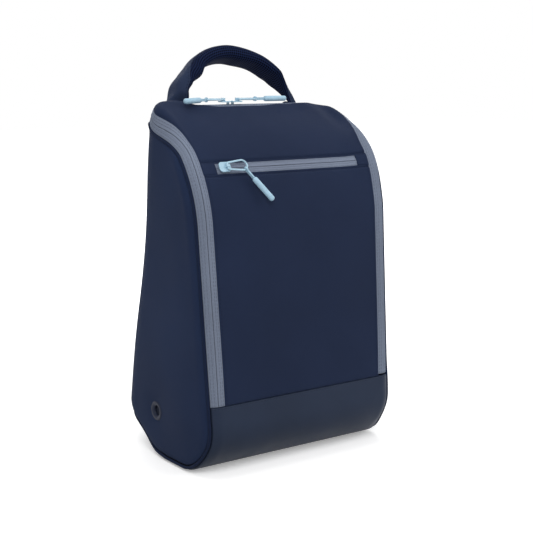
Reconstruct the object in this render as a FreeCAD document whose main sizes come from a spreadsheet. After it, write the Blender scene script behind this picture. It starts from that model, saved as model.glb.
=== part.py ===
import FreeCAD, Part
import math
import os
import re
import Sketcher

# Soft shoe bag with a zipped front flap, a zipped front pocket and a carry handle.
# Millimetres.  X runs across the bag, Y from front to back, Z up; the origin is the
# bottom centre of the bounding box.  The bag is a band (front, top, base) sewn to a wall
# (left side, back, right side) along one piped seam that runs all the way round.

doc = FreeCAD.newDocument("shoe_bag")
sheet = doc.addObject("Spreadsheet::Sheet", "Sheet")

# Driving dimensions: alias, value, meaning.  A depth is measured back from the seam
# between the guard and the flap, and seam_y puts that seam in the part's own frame.
CELLS = [
    ("seam_y", -87.6, "flap seam in the part's frame"),
    ("seam_z", 72.0, "height of the flap seam"),
    ("toe_y", -5.8, "depth of the front plane at the ground"),
    ("brow_y", 18.8, "depth where front plane and top slope meet"),
    ("brow_z", 305.7, "height where front plane and top slope meet"),
    ("crest_y", 99.0, "depth where top slope and rear slope meet"),
    ("crest_z", 357.8, "height where top slope and rear slope meet"),
    ("rear_run", 130.0, "run of the rear slope line"),
    ("rear_drop", 9.1, "fall of the rear slope line along its run"),
    ("base_y", 108.0, "depth where the flat base starts to rise"),
    ("base_run", 130.0, "run of the rising base line"),
    ("base_rise", 78.1, "rise of the base line along its run"),
    ("back_foot_y", 187.1, "depth of the back plane at the ground"),
    ("back_head_y", 110.0, "depth of the back plane at head_z"),
    ("half_foot", 116.0, "half width at the ground"),
    ("half_head", 123.9, "half width at head_z"),
    ("head_z", 400.0, "height at which upper depths and widths are given"),
    ("reach", 160.0, "overlength of cutting solids"),
    ("toe_round", 48.0, "radius between front and base"),
    ("brow_round", 125.0, "radius between front and top slope"),
    ("crest_round", 20.0, "radius over the crest"),
    ("heel_round", 50.0, "radius where the base starts to rise"),
    ("corner_round", 40.0, "radius of the upright back corners"),
    ("rim_round", 16.0, "radius between band and wall"),
    ("skin", 2.4, "thickness of the padded fabric"),
    ("lining", 0.8, "thickness of the lining"),
    ("tape_recess", 0.7, "zip tape below the fabric surface"),
    ("tape", 1.0, "thickness of the zip tape"),
    ("coil", 1.5, "thickness of the zip coil"),
    ("coil_wide", 2.0, "width of one half of the zip coil"),
    ("piping_proud", 1.2, "piping and anchor patches above the fabric surface"),
    ("piping_side", 2.6, "side plane to outer edge of the piping"),
    ("piping_back", 4.8, "back plane to outer edge of the piping"),
    ("tape_side", 5.0, "side plane to outer edge of the main zip"),
    ("tape_rear", 7.3, "back plane to outer edge of the main zip"),
    ("chain_side", 12.3, "side plane to centre line of the main zip"),
    ("chain_rear", 14.4, "back plane to centre line of the main zip"),
    ("flap_side", 20.0, "side plane to edge of the flap fabric"),
    ("flap_rear", 22.0, "back plane to edge of the flap fabric"),
    ("chain_gap", 1.4, "gap between two zip tapes, where the slider post runs"),
    ("corner_seam", 12.0, "side plane to the seam between side and back"),
    ("guard_depth", 42.0, "depth of the seam between guard and base"),
    ("hinge_gap", 0.5, "gap above the guard where the flap folds"),
    ("pocket_tilt", 59.1, "lean of the surface at the pocket zip, from level"),
    ("pocket_tape", 5.7, "pocket zip centre line to tape edge"),
    ("pocket_left", -85.7, "left end of the bare pocket zip tape"),
    ("pocket_right", 88.5, "right end of the bare pocket zip tape"),
    ("pocket_room", 2.4, "free depth inside the flat front pocket"),
    ("hem", 6.0, "width of the hem that joins the flap lining to the flap"),
    ("pocket_deep", 160.0, "pocket zip to the bottom of the pocket bag"),
    ("pocket_half", 90.0, "half width of the pocket bag"),
    ("board_half", 88.0, "half width of the base board"),
    ("board_front", 44.0, "depth of the front edge of the base board"),
    ("board_rear", 128.0, "depth of the rear edge of the base board"),
    ("board", 2.0, "thickness of the base board"),
    ("eyelet_y", 97.0, "depth of the eyelets"),
    ("eyelet_z", 48.0, "height of the eyelets"),
    ("eyelet_bore", 10.0, "bore of an eyelet"),
    ("eyelet_barrel", 11.4, "outer diameter of an eyelet's barrel"),
    ("eyelet_flange", 19.0, "diameter of an eyelet's flange"),
    ("eyelet_rim", 1.1, "height of the flange above the fabric"),
    ("flange_slope", 1.5, "width of the slope round a flange's edge"),
    ("bore_slope", 0.8, "width of the slope into an eyelet's bore"),
    ("washer", 0.8, "thickness of the washer behind an eyelet"),
    ("slider_long", 13.0, "length of a zip slider"),
    ("slider_wide", 10.4, "width of a zip slider"),
    ("slider_round", 3.4, "corner radius of a zip slider in plan"),
    ("crown_low", 1.6, "underside of the slider's crown above the fabric"),
    ("plate", 1.3, "thickness of the slider's plates"),
    ("throat", 5.4, "clear height between the slider's plates"),
    ("post", 0.8, "thickness of the slider's post"),
    ("post_long", 3.0, "length of the slider's post"),
    ("post_place", 1.0, "nose of the slider to its post"),
    ("plate_side", 0.6, "edge of the crown to the edge of the lower plate"),
    ("plate_end", 0.8, "nose of the crown to the end of the lower plate"),
    ("lug_place", 2.0, "lug from the middle of the slider"),
    ("lug_wide", 2.4, "width of the lug that holds the pull ring"),
    ("lug_long", 4.0, "length of that lug"),
    ("lug_high", 3.0, "height of that lug"),
    ("lug_bore", 1.9, "bore of that lug"),
    ("ring_level", 4.4, "pull ring above the fabric"),
    ("ring_wire", 1.8, "wire of the pull ring"),
    ("ring_long", 22.5, "length of the pull ring, wire centre to wire centre"),
    ("ring_neck", 6.8, "width of the pull ring at its square end, wire to wire"),
    ("ring_wide", 10.8, "width of the pull ring at its round end, wire to wire"),
    ("ring_corner", 2.8, "outer radius of the ring's square corners"),
    ("ring_bend", 1.2, "inner radius of the ring's square corners"),
    ("wire_round", 0.85, "rounding that makes the ring's wire nearly round"),
    ("link_bore", 2.1, "bore of the link round the pull ring"),
    ("link_wall", 1.4, "wall of the link round that bore"),
    ("link_thick", 1.6, "thickness of the link"),
    ("link_long", 11.0, "pull ring to pull tab"),
    ("link_root", 0.2, "edge of the link's bore to the start of its neck"),
    ("tab_long", 29.0, "length of a pull tab"),
    ("tab_wide", 5.6, "diameter of a pull tab"),
    ("tab_round", 2.5, "end radius of a pull tab"),
    ("meet_x", -20.5, "where the two main sliders meet"),
    ("meet_gap", 0.6, "gap between the two main sliders"),
    ("pocket_slider_x", -77.2, "middle of the pocket slider"),
    ("pocket_hang", 60.0, "pocket pull below the line of the zip, degrees"),
    ("left_hang", 25.0, "left main pull forward of the line of the zip, degrees"),
    ("handle_half", 70.0, "half distance between the handle's feet"),
    ("handle_rise", 63.0, "handle's foot to its highest centre line, along its lean"),
    ("shoulder_half", 57.0, "half distance between the tops of the straight legs"),
    ("shoulder_rise", 35.0, "handle's foot to the top of a straight leg"),
    ("shoulder_pull", 14.0, "how far the arch follows a leg before it turns"),
    ("crown_pull", 20.0, "how far the arch runs level from its middle"),
    ("handle_lean", 20.0, "lean of the handle towards the back, degrees"),
    ("handle_wide", 30.0, "width of the padded handle"),
    ("handle_thick", 9.5, "thickness of the padded handle"),
    ("foot_wide", 24.0, "width of the sewn end of the handle"),
    ("foot_thick", 2.4, "thickness of the sewn end of the handle"),
    ("foot_pinch", 30.0, "length over which the sewn end opens into the padded band"),
    ("foot_place", 66.0, "place of the handle's feet round the rear rim, degrees"),
    ("foot_gap", 0.3, "play between a foot and its anchor patch"),
    ("cover", 1.6, "thickness of the handle's cover"),
    ("mesh", 1.6, "thickness of the mesh under the handle"),
    ("patch_half", 13.0, "half width of an anchor patch"),
    ("patch_low", 322.0, "height of the lower edge of an anchor patch"),
]
for row, (alias, value, meaning) in enumerate(CELLS, start=1):
    sheet.set("A%d" % row, str(value))
    sheet.set("B%d" % row, meaning)
    sheet.setAlias("A%d" % row, alias)
doc.recompute()
ALIASES = {alias for alias, value, meaning in CELLS}


def full(text):
    """An expression whose bare names are cells, as the document needs it."""
    return re.sub("[a-z_]+", lambda name: "Sheet." + name.group()
                  if name.group() in ALIASES else name.group(), str(text))


def val(text):
    """The value now of an expression of cells."""
    return float(sheet.evalExpression(full(text)))


def bind(thing, **expressions):
    """Bind properties of an object to expressions of cells; __ stands for a dot."""
    for prop, text in expressions.items():
        thing.setExpression(prop.replace("__", "."), full(text))


nodes = {}


def node(name, thing):
    """Label a finished sub-part with its own name, which also names its file."""
    thing.Label = name
    nodes[name] = thing
    return thing


# ---------------------------------------------------------------- building blocks

SIDE_VIEW = FreeCAD.Rotation(FreeCAD.Vector(1, 1, 1), 120)     # sketch X, Y -> Y, Z
FRONT_VIEW = FreeCAD.Rotation(FreeCAD.Vector(1, 0, 0), 90)     # sketch X, Y -> X, Z
ACROSS = FreeCAD.Vector(1, 0, 0)
DEEP = FreeCAD.Vector(0, 1, 0)


def draw_polygon(sketch, corners):
    """Draw a closed polygon whose corners are held by expressions of cells."""
    points = [FreeCAD.Vector(val(across), val(up), 0) for across, up in corners]
    count = len(points)
    for i in range(count):
        sketch.addGeometry(Part.LineSegment(points[i], points[(i + 1) % count]), False)
    for i in range(count):
        sketch.addConstraint(Sketcher.Constraint("Coincident", i, 2, (i + 1) % count, 1))
        for kind, text in zip(("DistanceX", "DistanceY"), corners[i]):
            held = Sketcher.Constraint(kind, -1, 1, i, 1, val(text))
            sketch.setExpression("Constraints[%d]" % sketch.addConstraint(held), full(text))


def outline(name, rotation, corners):
    sketch = doc.addObject("Sketcher::SketchObject", name)
    sketch.Placement = FreeCAD.Placement(FreeCAD.Vector(), rotation)
    draw_polygon(sketch, corners)
    return sketch


def inset(name, sketch, amount):
    """The sketch's outline moved inwards by an expression, with sharp corners."""
    if val(amount) == 0.0:
        return sketch
    flat = doc.addObject("Part::Offset2D", name)
    flat.Source = sketch
    flat.Join = 2
    bind(flat, Value="-(%s)" % amount)
    return flat


def extrude(name, flat, direction):
    solid = doc.addObject("Part::Extrusion", name)
    solid.Base = flat
    solid.DirMode = "Custom"
    solid.Dir = direction
    solid.Solid = True
    solid.Symmetric = True
    bind(solid, LengthFwd="5 * reach")
    return solid


def common(name, *parts):
    both = doc.addObject("Part::MultiCommon", name)
    both.Shapes = list(parts)
    return both


def fuse(name, *parts):
    whole = doc.addObject("Part::MultiFuse", name)
    whole.Shapes = list(parts)
    whole.Refine = True
    return whole


def cut(name, base, tool):
    rest = doc.addObject("Part::Cut", name)
    rest.Base = base
    rest.Tool = tool
    rest.Refine = True
    return rest


def middle(edge):
    return edge.valueAt(0.5 * (edge.FirstParameter + edge.LastParameter))


def rounded(name, base, *choices):
    """Round the edges that pass a test; each choice is a test and its radius."""
    doc.recompute()
    fillet = doc.addObject("Part::Fillet", name)
    fillet.Base = base
    fillet.Edges = [(place, radius, radius)
                    for place, edge in enumerate(base.Shape.Edges, start=1)
                    for test, radius in choices if test(edge)]
    doc.recompute()
    return fillet


def box(name, low, high):
    """A box between two corners, each given as three expressions of cells."""
    solid = doc.addObject("Part::Box", name)
    for axis, size, start, end in zip("xyz", ("Length", "Width", "Height"), low, high):
        solid.setExpression("Placement.Base." + axis, full(start))
        solid.setExpression(size, full("%s - (%s)" % (end, start)))
    return solid


def rod(name, diameter, length, spot, direction):
    """A cylinder centred on a spot, its sizes and spot given as expressions."""
    solid = doc.addObject("Part::Cylinder", name)
    turn = FreeCAD.Rotation(FreeCAD.Vector(0, 0, 1), direction)
    bind(solid, Radius="(%s) / 2" % diameter, Height=length)
    for axis, start, part in zip("xyz", spot, turn.multVec(FreeCAD.Vector(0, 0, 1))):
        text = "%s - (%s) * %.6f / 2" % (start, length, part)
        solid.setExpression("Placement.Base." + axis, full(text))
    solid.Placement.Rotation = turn
    return solid


# ---------------------------------------------------------------- outer form of the bag

band_outline = outline("band_outline", SIDE_VIEW, [
    ("seam_y + toe_y", "0"),
    ("seam_y + base_y", "0"),
    ("seam_y + base_y + base_run", "base_rise"),
    ("seam_y + crest_y + rear_run", "crest_z - rear_drop"),
    ("seam_y + crest_y", "crest_z"),
    ("seam_y + brow_y", "brow_z"),
])
BACK_SLOPE = "(back_foot_y - back_head_y) / head_z"
wall_outline = outline("wall_outline", SIDE_VIEW, [
    ("seam_y - 2 * reach", "-reach"),
    ("seam_y + back_foot_y + reach * %s" % BACK_SLOPE, "-reach"),
    ("seam_y + back_head_y", "head_z"),
    ("seam_y - 2 * reach", "head_z"),
])
SIDE_SLOPE = "(half_head - half_foot) / head_z"
HALF_BELOW = "(half_foot - reach * %s)" % SIDE_SLOPE
side_outline = outline("side_outline", FRONT_VIEW, [
    ("-" + HALF_BELOW, "-reach"),
    (HALF_BELOW, "-reach"),
    ("half_head", "head_z"),
    ("-half_head", "head_z"),
])


def between_sides(name, amount):
    """Everything between the two side planes, each moved inwards."""
    return extrude(name, inset(name + "_outline", side_outline, amount), DEEP)


def prism(name, side_inset, rear_inset):
    """The space inside the wall, with the sides and the back moved inwards."""
    depth = extrude(name + "_depth", inset(name + "_profile", wall_outline, rear_inset),
                    ACROSS)
    block = common(name + "_block", depth, between_sides(name + "_width", side_inset))
    radius = val("corner_round - ((%s) + (%s)) / 2" % (side_inset, rear_inset))

    def upright(edge):
        return edge.BoundBox.ZLength > val("head_z") and middle(edge).y > 0.0

    return rounded(name, block, (upright, radius))


def near(depth, height):
    """A test for the long cross edge of the band near a corner of its outline."""
    def test(edge):
        spot = middle(edge)
        return (edge.BoundBox.XLength > val("reach")
                and math.hypot(spot.y - val("seam_y + " + depth), spot.z - val(height)) < 10.0)
    return test


def form(name, amount):
    """The bag's outer form with every face moved inwards by an expression."""
    block = extrude(name + "_block", inset(name + "_band", band_outline, amount), ACROSS)
    band = rounded(name + "_rounded", block,
                   (near("toe_y", "0"), val("toe_round - (%s)" % amount)),
                   (near("base_y", "0"), val("heel_round - (%s)" % amount)),
                   (near("crest_y", "crest_z"), val("crest_round - (%s)" % amount)),
                   (near("brow_y", "brow_z"), val("brow_round - (%s)" % amount)))
    raw = common(name + "_raw", band, prism(name + "_walls", amount, amount))
    doc.recompute()
    start = min((edge for edge in raw.Shape.Edges if edge.BoundBox.ZLength > 100.0),
                key=lambda edge: middle(edge).y)
    return rounded(name, raw, (start.isSame, val("rim_round - (%s)" % amount)))


# ---------------------------------------------------------------- layers of the shell

proud = form("proud", "-piping_proud")
outer = form("outer", "0")
tape_face = form("tape_face", "tape_recess")
tape_rear = form("tape_rear", "tape_recess + tape")
inner = form("inner", "skin")
lined = form("lined", "skin + lining")
pocket_back = form("pocket_back", "skin + lining + pocket_room")
flap_back = form("flap_back", "skin + 2 * lining + pocket_room")
board_top = form("board_top", "skin + lining + board")

proud_layer = cut("proud_layer", proud, outer)
piping_layer = cut("piping_layer", proud, inner)
skin_layer = cut("skin_layer", outer, inner)
tape_layer = cut("tape_layer", tape_face, tape_rear)
coil_layer = cut("coil_layer", tape_rear, lined)
lining_layer = cut("lining_layer", inner, lined)
hem_layer = cut("hem_layer", inner, flap_back)
hollow_layer = cut("hollow_layer", inner, pocket_back)
board_layer = cut("board_layer", lined, board_top)

piping_zone = prism("piping_zone", "piping_side", "piping_back")
band_zone = prism("band_zone", "tape_side", "tape_rear")
fixed_coil = prism("fixed_coil", "chain_side - chain_gap / 2 - coil_wide",
                   "chain_rear - chain_gap / 2 - coil_wide")
fixed_edge = prism("fixed_edge", "chain_side - chain_gap / 2", "chain_rear - chain_gap / 2")
moving_edge = prism("moving_edge", "chain_side + chain_gap / 2",
                    "chain_rear + chain_gap / 2")
moving_coil = prism("moving_coil", "chain_side + chain_gap / 2 + coil_wide",
                    "chain_rear + chain_gap / 2 + coil_wide")
flap_zone = prism("flap_zone", "flap_side", "flap_rear")
hem_zone = prism("hem_zone", "flap_side + hem", "flap_rear + hem")
corner_slab = between_sides("corner_slab", "corner_seam")

FAR = "3 * reach"
NEAR = "-3 * reach"
GUARD_REAR = "seam_y + guard_depth"
above_seam = box("above_seam", (NEAR, NEAR, "seam_z"), (FAR, FAR, FAR))
above_hinge = box("above_hinge", (NEAR, NEAR, "seam_z + hinge_gap"), (FAR, FAR, FAR))
above_hem = box("above_hem", (NEAR, NEAR, "seam_z + hinge_gap + hem"), (FAR, FAR, FAR))
guard_side = box("guard_side", (NEAR, NEAR, NEAR), (FAR, GUARD_REAR, "seam_z"))
base_side = box("base_side", (NEAR, GUARD_REAR, NEAR), (FAR, FAR, "seam_z"))
left_half = box("left_half", (NEAR, NEAR, NEAR), ("0", FAR, FAR))
right_half = box("right_half", ("0", NEAR, NEAR), (FAR, FAR, FAR))
SIDES = (("left", -1.0, left_half), ("right", 1.0, right_half))

# ---------------------------------------------------------------- eyelets

EYELET_X = "(half_foot + eyelet_z * %s)" % SIDE_SLOPE
side_tilt = math.degrees(math.atan(val(SIDE_SLOPE)))


def on_side(thing, sign):
    """Stand an object made along +Z on a side plane, pointing out of the bag."""
    turn = FreeCAD.Rotation(DEEP, sign * (90.0 + side_tilt))
    thing.Placement = FreeCAD.Placement(FreeCAD.Vector(), turn)
    bind(thing, Placement__Base__x="%g * %s" % (sign, EYELET_X),
         Placement__Base__y="seam_y + eyelet_y", Placement__Base__z="eyelet_z")
    return thing


def turned_body(name, corners):
    """A body of revolution about Z; corners are its radii and heights."""
    body = doc.addObject("PartDesign::Body", name)
    doc.recompute()
    plane = [part for part in body.Origin.OriginFeatures if part.Role == "XZ_Plane"][0]
    sketch = body.newObject("Sketcher::SketchObject", name + "_section")
    sketch.AttachmentSupport = [(plane, "")]
    sketch.MapMode = "FlatFace"
    draw_polygon(sketch, corners)
    turned = body.newObject("PartDesign::Revolution", name + "_turned")
    turned.Profile = sketch
    turned.ReferenceAxis = (sketch, ["V_Axis"])
    turned.Angle = 360.0
    body.Tip = turned
    return body


def eyelet(side, sign):
    """A pressed eyelet: a flanged barrel through the side and a washer behind it."""
    name = "eyelet_" + side
    end = "-(skin + lining + washer)"
    barrel = turned_body(name, [
        ("eyelet_bore / 2", end), ("eyelet_barrel / 2", end),
        ("eyelet_barrel / 2", "0"), ("eyelet_flange / 2", "0"),
        ("eyelet_flange / 2", "eyelet_rim / 3"),
        ("eyelet_flange / 2 - flange_slope", "eyelet_rim"),
        ("eyelet_bore / 2 + bore_slope", "eyelet_rim"),
        ("eyelet_bore / 2", "eyelet_rim / 2"),
    ])
    ring = turned_body("eyelet_washer_" + side, [
        ("eyelet_barrel / 2", end), ("eyelet_flange / 2 - 1", end),
        ("eyelet_flange / 2 - 1", "-(skin + lining)"),
        ("eyelet_barrel / 2", "-(skin + lining)"),
    ])
    node(name, on_side(barrel, sign))
    node("eyelet_washer_" + side, on_side(ring, sign))
    hole = doc.addObject("Part::Cylinder", "eyelet_hole_" + side)
    bind(hole, Radius="eyelet_barrel / 2", Height="reach / 4")
    turn = FreeCAD.Rotation(DEEP, sign * (90.0 + side_tilt))
    spot = FreeCAD.Vector(sign * val(EYELET_X), val("seam_y + eyelet_y"), val("eyelet_z"))
    hole.Placement = FreeCAD.Placement(
        spot - turn.multVec(FreeCAD.Vector(0, 0, val("reach / 8"))), turn)
    return hole


# ---------------------------------------------------------------- wall, band and linings

wall_skin = cut("wall_skin", skin_layer, piping_zone)
side_skins = cut("side_skins", wall_skin, corner_slab)
holes = [eyelet(side, sign) for side, sign, half in SIDES]
for (side, sign, half), hole in zip(SIDES, holes):
    panel = common("side_skin_" + side, side_skins, half)
    node("side_panel_" + side, cut("side_panel_" + side, panel, hole))
node("back_panel", common("back_panel", wall_skin, corner_slab))
piping_ring = common("piping_ring", piping_layer, piping_zone)
node("edge_piping", cut("edge_piping", piping_ring, band_zone))
node("front_guard", common("front_guard", skin_layer, band_zone, guard_side))
node("base_panel", common("base_panel", skin_layer, band_zone, base_side))

open_lid = common("open_lid", band_zone, above_seam)
closed_lining = cut("closed_lining", lining_layer, open_lid)
node("body_lining", cut("body_lining", closed_lining, fuse("eyelet_holes", *holes)))
board_area = box("board_area", ("-board_half", "seam_y + board_front", NEAR),
                 ("board_half", "seam_y + board_rear", "seam_z"))
node("base_board", common("base_board", board_layer, board_area))

fixed_tape = common("fixed_tape", tape_layer, band_zone, above_seam)
node("main_zip_tape_body", cut("main_zip_tape_body", fixed_tape, fixed_edge))
fixed_teeth = common("fixed_teeth", coil_layer, fixed_coil, above_seam)
node("main_zip_coil_body", cut("main_zip_coil_body", fixed_teeth, fixed_edge))

# ---------------------------------------------------------------- flap

doc.recompute()


def round_face(radius, low_z):
    """The cylinder of a given radius that runs across the outer form above a height."""
    return [face.Surface for face in outer.Shape.Faces
            if isinstance(face.Surface, Part.Cylinder)
            and abs(face.Surface.Radius - val(radius)) < 0.001
            and abs(face.Surface.Axis.x) > 0.999 and face.CenterOfMass.z > val(low_z)][0]


brow = round_face("brow_round", "0")
pocket_turn = FreeCAD.Rotation(ACROSS, val("pocket_tilt"))
pocket_out = pocket_turn.multVec(FreeCAD.Vector(0, 0, 1))
pocket_spot = FreeCAD.Vector(0, brow.Center.y, brow.Center.z) + pocket_out * brow.Radius
pocket_frame = FreeCAD.Placement(pocket_spot, pocket_turn)


def pocket_row(name, left, low, right, high):
    """A slab square to the surface at the pocket zip, cut through the flap."""
    solid = doc.addObject("Part::Box", name)
    bind(solid, Length="%s - (%s)" % (right, left), Width="%s - (%s)" % (high, low),
         Height="3 * reach")
    shift = FreeCAD.Vector(val(left), val(low), -val("3 * reach / 2"))
    solid.Placement = pocket_frame.multiply(FreeCAD.Placement(shift, FreeCAD.Rotation()))
    return solid


flap_skin = common("flap_skin", skin_layer, flap_zone, above_hinge)
upper_row = pocket_row("upper_row", NEAR, "pocket_tape", FAR, FAR)
lower_row = pocket_row("lower_row", NEAR, NEAR, FAR, "-pocket_tape")
node("front_panel_upper", common("front_panel_upper", flap_skin, upper_row))
node("front_panel_lower", common("front_panel_lower", flap_skin, lower_row))
moving_tape = common("moving_tape", tape_layer, moving_edge, above_hinge)
node("main_zip_tape_flap", cut("main_zip_tape_flap", moving_tape, flap_zone))
moving_teeth = common("moving_teeth", coil_layer, moving_edge, above_hinge)
node("main_zip_coil_flap", cut("main_zip_coil_flap", moving_teeth, moving_coil))
for side, start, end in (("left", NEAR, "pocket_left"), ("right", "pocket_right", FAR)):
    tab_row = pocket_row("end_row_" + side, start, "-pocket_tape", end, "pocket_tape")
    node("pocket_end_" + side, common("pocket_end_" + side, flap_skin, tab_row))
for half, sign in (("upper", 1.0), ("lower", -1.0)):
    edges = sorted(("%g * chain_gap / 2" % sign, "%g * pocket_tape" % sign), key=val)
    row = pocket_row("tape_row_" + half, "pocket_left", edges[0], "pocket_right", edges[1])
    node("pocket_zip_tape_" + half,
         common("pocket_zip_tape_" + half, tape_layer, row, flap_zone))
    edges = sorted(("%g * chain_gap / 2" % sign,
                    "%g * (chain_gap / 2 + coil_wide)" % sign), key=val)
    row = pocket_row("coil_row_" + half, "pocket_left", edges[0], "pocket_right", edges[1])
    node("pocket_zip_coil_" + half,
         common("pocket_zip_coil_" + half, coil_layer, row, flap_zone))
pocket_area = pocket_row("pocket_area", "-pocket_half", "-pocket_deep", "pocket_half",
                         "-pocket_tape")
node("pocket_lining", common("pocket_lining", lining_layer, pocket_area, above_hinge,
                             flap_zone))
hemmed = common("hemmed", hem_layer, flap_zone, above_hinge)
hollow = common("hollow", hollow_layer, hem_zone, above_hem)
node("flap_lining", cut("flap_lining", hemmed, hollow))


# ---------------------------------------------------------------- zip sliders and pulls

def slider(name, frame, rails, lean):
    """A slider: crown, lug, a post that leans with the slot, and a plate on the rails."""
    half = "slider_long / 2"
    crown = box(name + "_crown", ("-" + half, "-slider_wide / 2", "crown_low"),
                (half, "slider_wide / 2", "crown_low + plate"))

    def upright(edge):
        return edge.BoundBox.ZLength > 1.0

    crown = rounded(name + "_rounded", crown, (upright, val("slider_round")))
    blade = box(name + "_blade",
                ("-%s + post_place" % half, "-post / 2", "crown_low - throat - plate / 2"),
                ("-%s + post_place + post_long" % half, "post / 2", "crown_low + plate / 2"))
    post = doc.addObject("Part::Compound", name + "_post")
    post.Links = [blade]
    post.Placement = FreeCAD.Placement(FreeCAD.Vector(), FreeCAD.Rotation(ACROSS, lean))
    low, high = rails
    foot = box(name + "_foot",
               ("-%s + plate_end" % half, low, "crown_low - throat - plate"),
               (half + " - plate_end", high, "crown_low - throat"))
    lug = box(name + "_lug",
              ("lug_place - lug_long / 2", "-lug_wide / 2", "crown_low + plate"),
              ("lug_place + lug_long / 2", "lug_wide / 2", "crown_low + plate + lug_high"))
    bore = rod(name + "_bore", "lug_bore", "2 * lug_wide",
               ("lug_place", "0", "ring_level"), DEEP)
    whole = cut(name, fuse(name + "_solid", crown, post, foot, lug), bore)
    whole.Placement = frame
    return node(name, whole)


def level_edge(edge):
    return edge.BoundBox.ZLength < 0.01


def ring(name, frame):
    """The pull ring: a bent wire with a square end in the lug and a wide round end."""
    spread = "(ring_wide - ring_neck) / 2 / (ring_long - ring_wide / 2)"
    middle_x = "(ring_long - ring_wide / 2)"

    def blank(part, start, grow):
        neck = "((ring_neck + %s) / 2)" % grow
        wide = "((ring_wide + %s) / 2)" % grow
        touch = "(%s * sqrt(1 - (%s)^2))" % (wide, spread)
        reach_x = "(%s - %s * %s)" % (middle_x, wide, spread)
        sketch = outline(name + part + "_outline", FreeCAD.Rotation(), [
            (start, "-" + neck), (reach_x, "-" + touch), (reach_x, touch), (start, neck),
        ])
        wedge = extrude(name + part + "_wedge", sketch, FreeCAD.Vector(0, 0, 1))
        bind(wedge, LengthFwd="ring_wire")
        cap = rod(name + part + "_cap", "2 * " + wide, "ring_wire", (middle_x, "0", "0"),
                  FreeCAD.Vector(0, 0, 1))
        return fuse(name + part, wedge, cap)

    flat = cut(name + "_flat", blank("_outside", "-ring_wire / 2", "ring_wire"),
               blank("_inside", "ring_wire / 2", "-ring_wire"))

    def outer_corner(edge):
        return edge.BoundBox.ZLength > 1.0 and middle(edge).x < 0.0

    def inner_corner(edge):
        return edge.BoundBox.ZLength > 1.0 and 0.0 < middle(edge).x < 2.0

    bent = rounded(name + "_bent", flat, (outer_corner, val("ring_corner")),
                   (inner_corner, val("ring_bend")))
    wire = rounded(name, bent, (level_edge, val("wire_round")))
    wire.Placement = frame
    return node(name, wire)


def pull(side, frame):
    """The moulded pull: a link closed round the pull ring, and a rounded tab."""
    link = "pull_link_" + side
    eye = rod(link + "_eye", "link_bore + 2 * link_wall", "link_thick",
              ("0", "0", "0"), DEEP)
    neck = box(link + "_neck", ("link_bore / 2 + link_root", "-link_thick / 2", "-link_wall"),
               ("link_long", "link_thick / 2", "link_wall"))
    bore = rod(link + "_bore", "link_bore", "2 * link_thick", ("0", "0", "0"), DEEP)
    closed = cut(link, fuse(link + "_solid", eye, neck), bore)
    closed.Placement = frame
    node(link, closed)
    name = "pull_tab_" + side
    bar = rod(name + "_bar", "tab_wide", "tab_long", ("link_long + tab_long / 2", "0", "0"),
              ACROSS)

    def end_edge(edge):
        return edge.BoundBox.XLength < 0.01

    tab = rounded(name, bar, (end_edge, val("tab_round")))
    tab.Placement = frame
    return node(name, tab)


def shifted(frame, x, y, z):
    return frame.multiply(FreeCAD.Placement(FreeCAD.Vector(x, y, z), FreeCAD.Rotation()))


def zip_set(side, frame, rails, lean, hang):
    """A slider with its ring and its pull, which hangs at an angle in the ring's plane."""
    slider("zip_slider_" + side, frame, rails, lean)
    ring_frame = shifted(frame, val("lug_place"), 0.0, val("ring_level"))
    ring("pull_ring_" + side, ring_frame)
    bend = shifted(ring_frame, val("ring_long - ring_wide / 2"), 0.0, 0.0)
    swung = bend.multiply(FreeCAD.Placement(
        FreeCAD.Vector(), FreeCAD.Rotation(FreeCAD.Vector(0, 0, 1), hang)))
    pull(side, shifted(swung, val("ring_wide / 2"), 0.0, 0.0))
    print("%s: lug %s bend %s" % (side, ring_frame.Base, bend.Base))


crest = round_face("crest_round", "brow_z")
back_lean = math.atan(val(BACK_SLOPE))
crest_depth = ((val("seam_y + back_foot_y") - crest.Center.y) * math.cos(back_lean)
               - crest.Center.z * math.sin(back_lean))
slot_lean = math.asin((crest_depth - val("chain_rear")) / crest.Radius)
top_fall = slot_lean - back_lean
top_spot = FreeCAD.Vector(0, crest.Center.y + crest.Radius * math.sin(top_fall),
                          crest.Center.z + crest.Radius * math.cos(top_fall))
top_turn = FreeCAD.Rotation(ACROSS, -math.degrees(top_fall))
half_step = val("(meet_gap + slider_long) / 2")
right_spot = top_spot + FreeCAD.Vector(val("meet_x") + half_step, 0, 0)
left_spot = top_spot + FreeCAD.Vector(val("meet_x") - half_step, 0, 0)
about = FreeCAD.Rotation(FreeCAD.Vector(0, 0, 1), 180)
zip_set("right", FreeCAD.Placement(right_spot, top_turn),
        ("post / 2", "slider_wide / 2 - plate_side"), math.degrees(slot_lean), 0.0)
zip_set("left", FreeCAD.Placement(left_spot, top_turn.multiply(about)),
        ("-(slider_wide / 2 - plate_side)", "-post / 2"), -math.degrees(slot_lean),
        val("left_hang"))
zip_set("pocket", shifted(pocket_frame, val("pocket_slider_x"), 0.0, 0.0),
        ("-(slider_wide / 2 - plate_side)", "slider_wide / 2 - plate_side"), 0.0,
        -val("pocket_hang"))

# ---------------------------------------------------------------- handle

rim = round_face("rim_round", "crest_z - 40")
place = math.radians(val("foot_place"))
foot_out = FreeCAD.Vector(0, math.sin(place), math.cos(place))
foot_lift = val("rim_round + piping_proud + foot_gap + foot_thick / 2")
foot_spot = FreeCAD.Vector(0, rim.Center.y, rim.Center.z) + foot_out * foot_lift
lean = math.radians(val("handle_lean"))
RISE = FreeCAD.Vector(0, math.sin(lean), math.cos(lean))
DEPTH = FreeCAD.Vector(0, math.cos(lean), -math.sin(lean))


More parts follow.
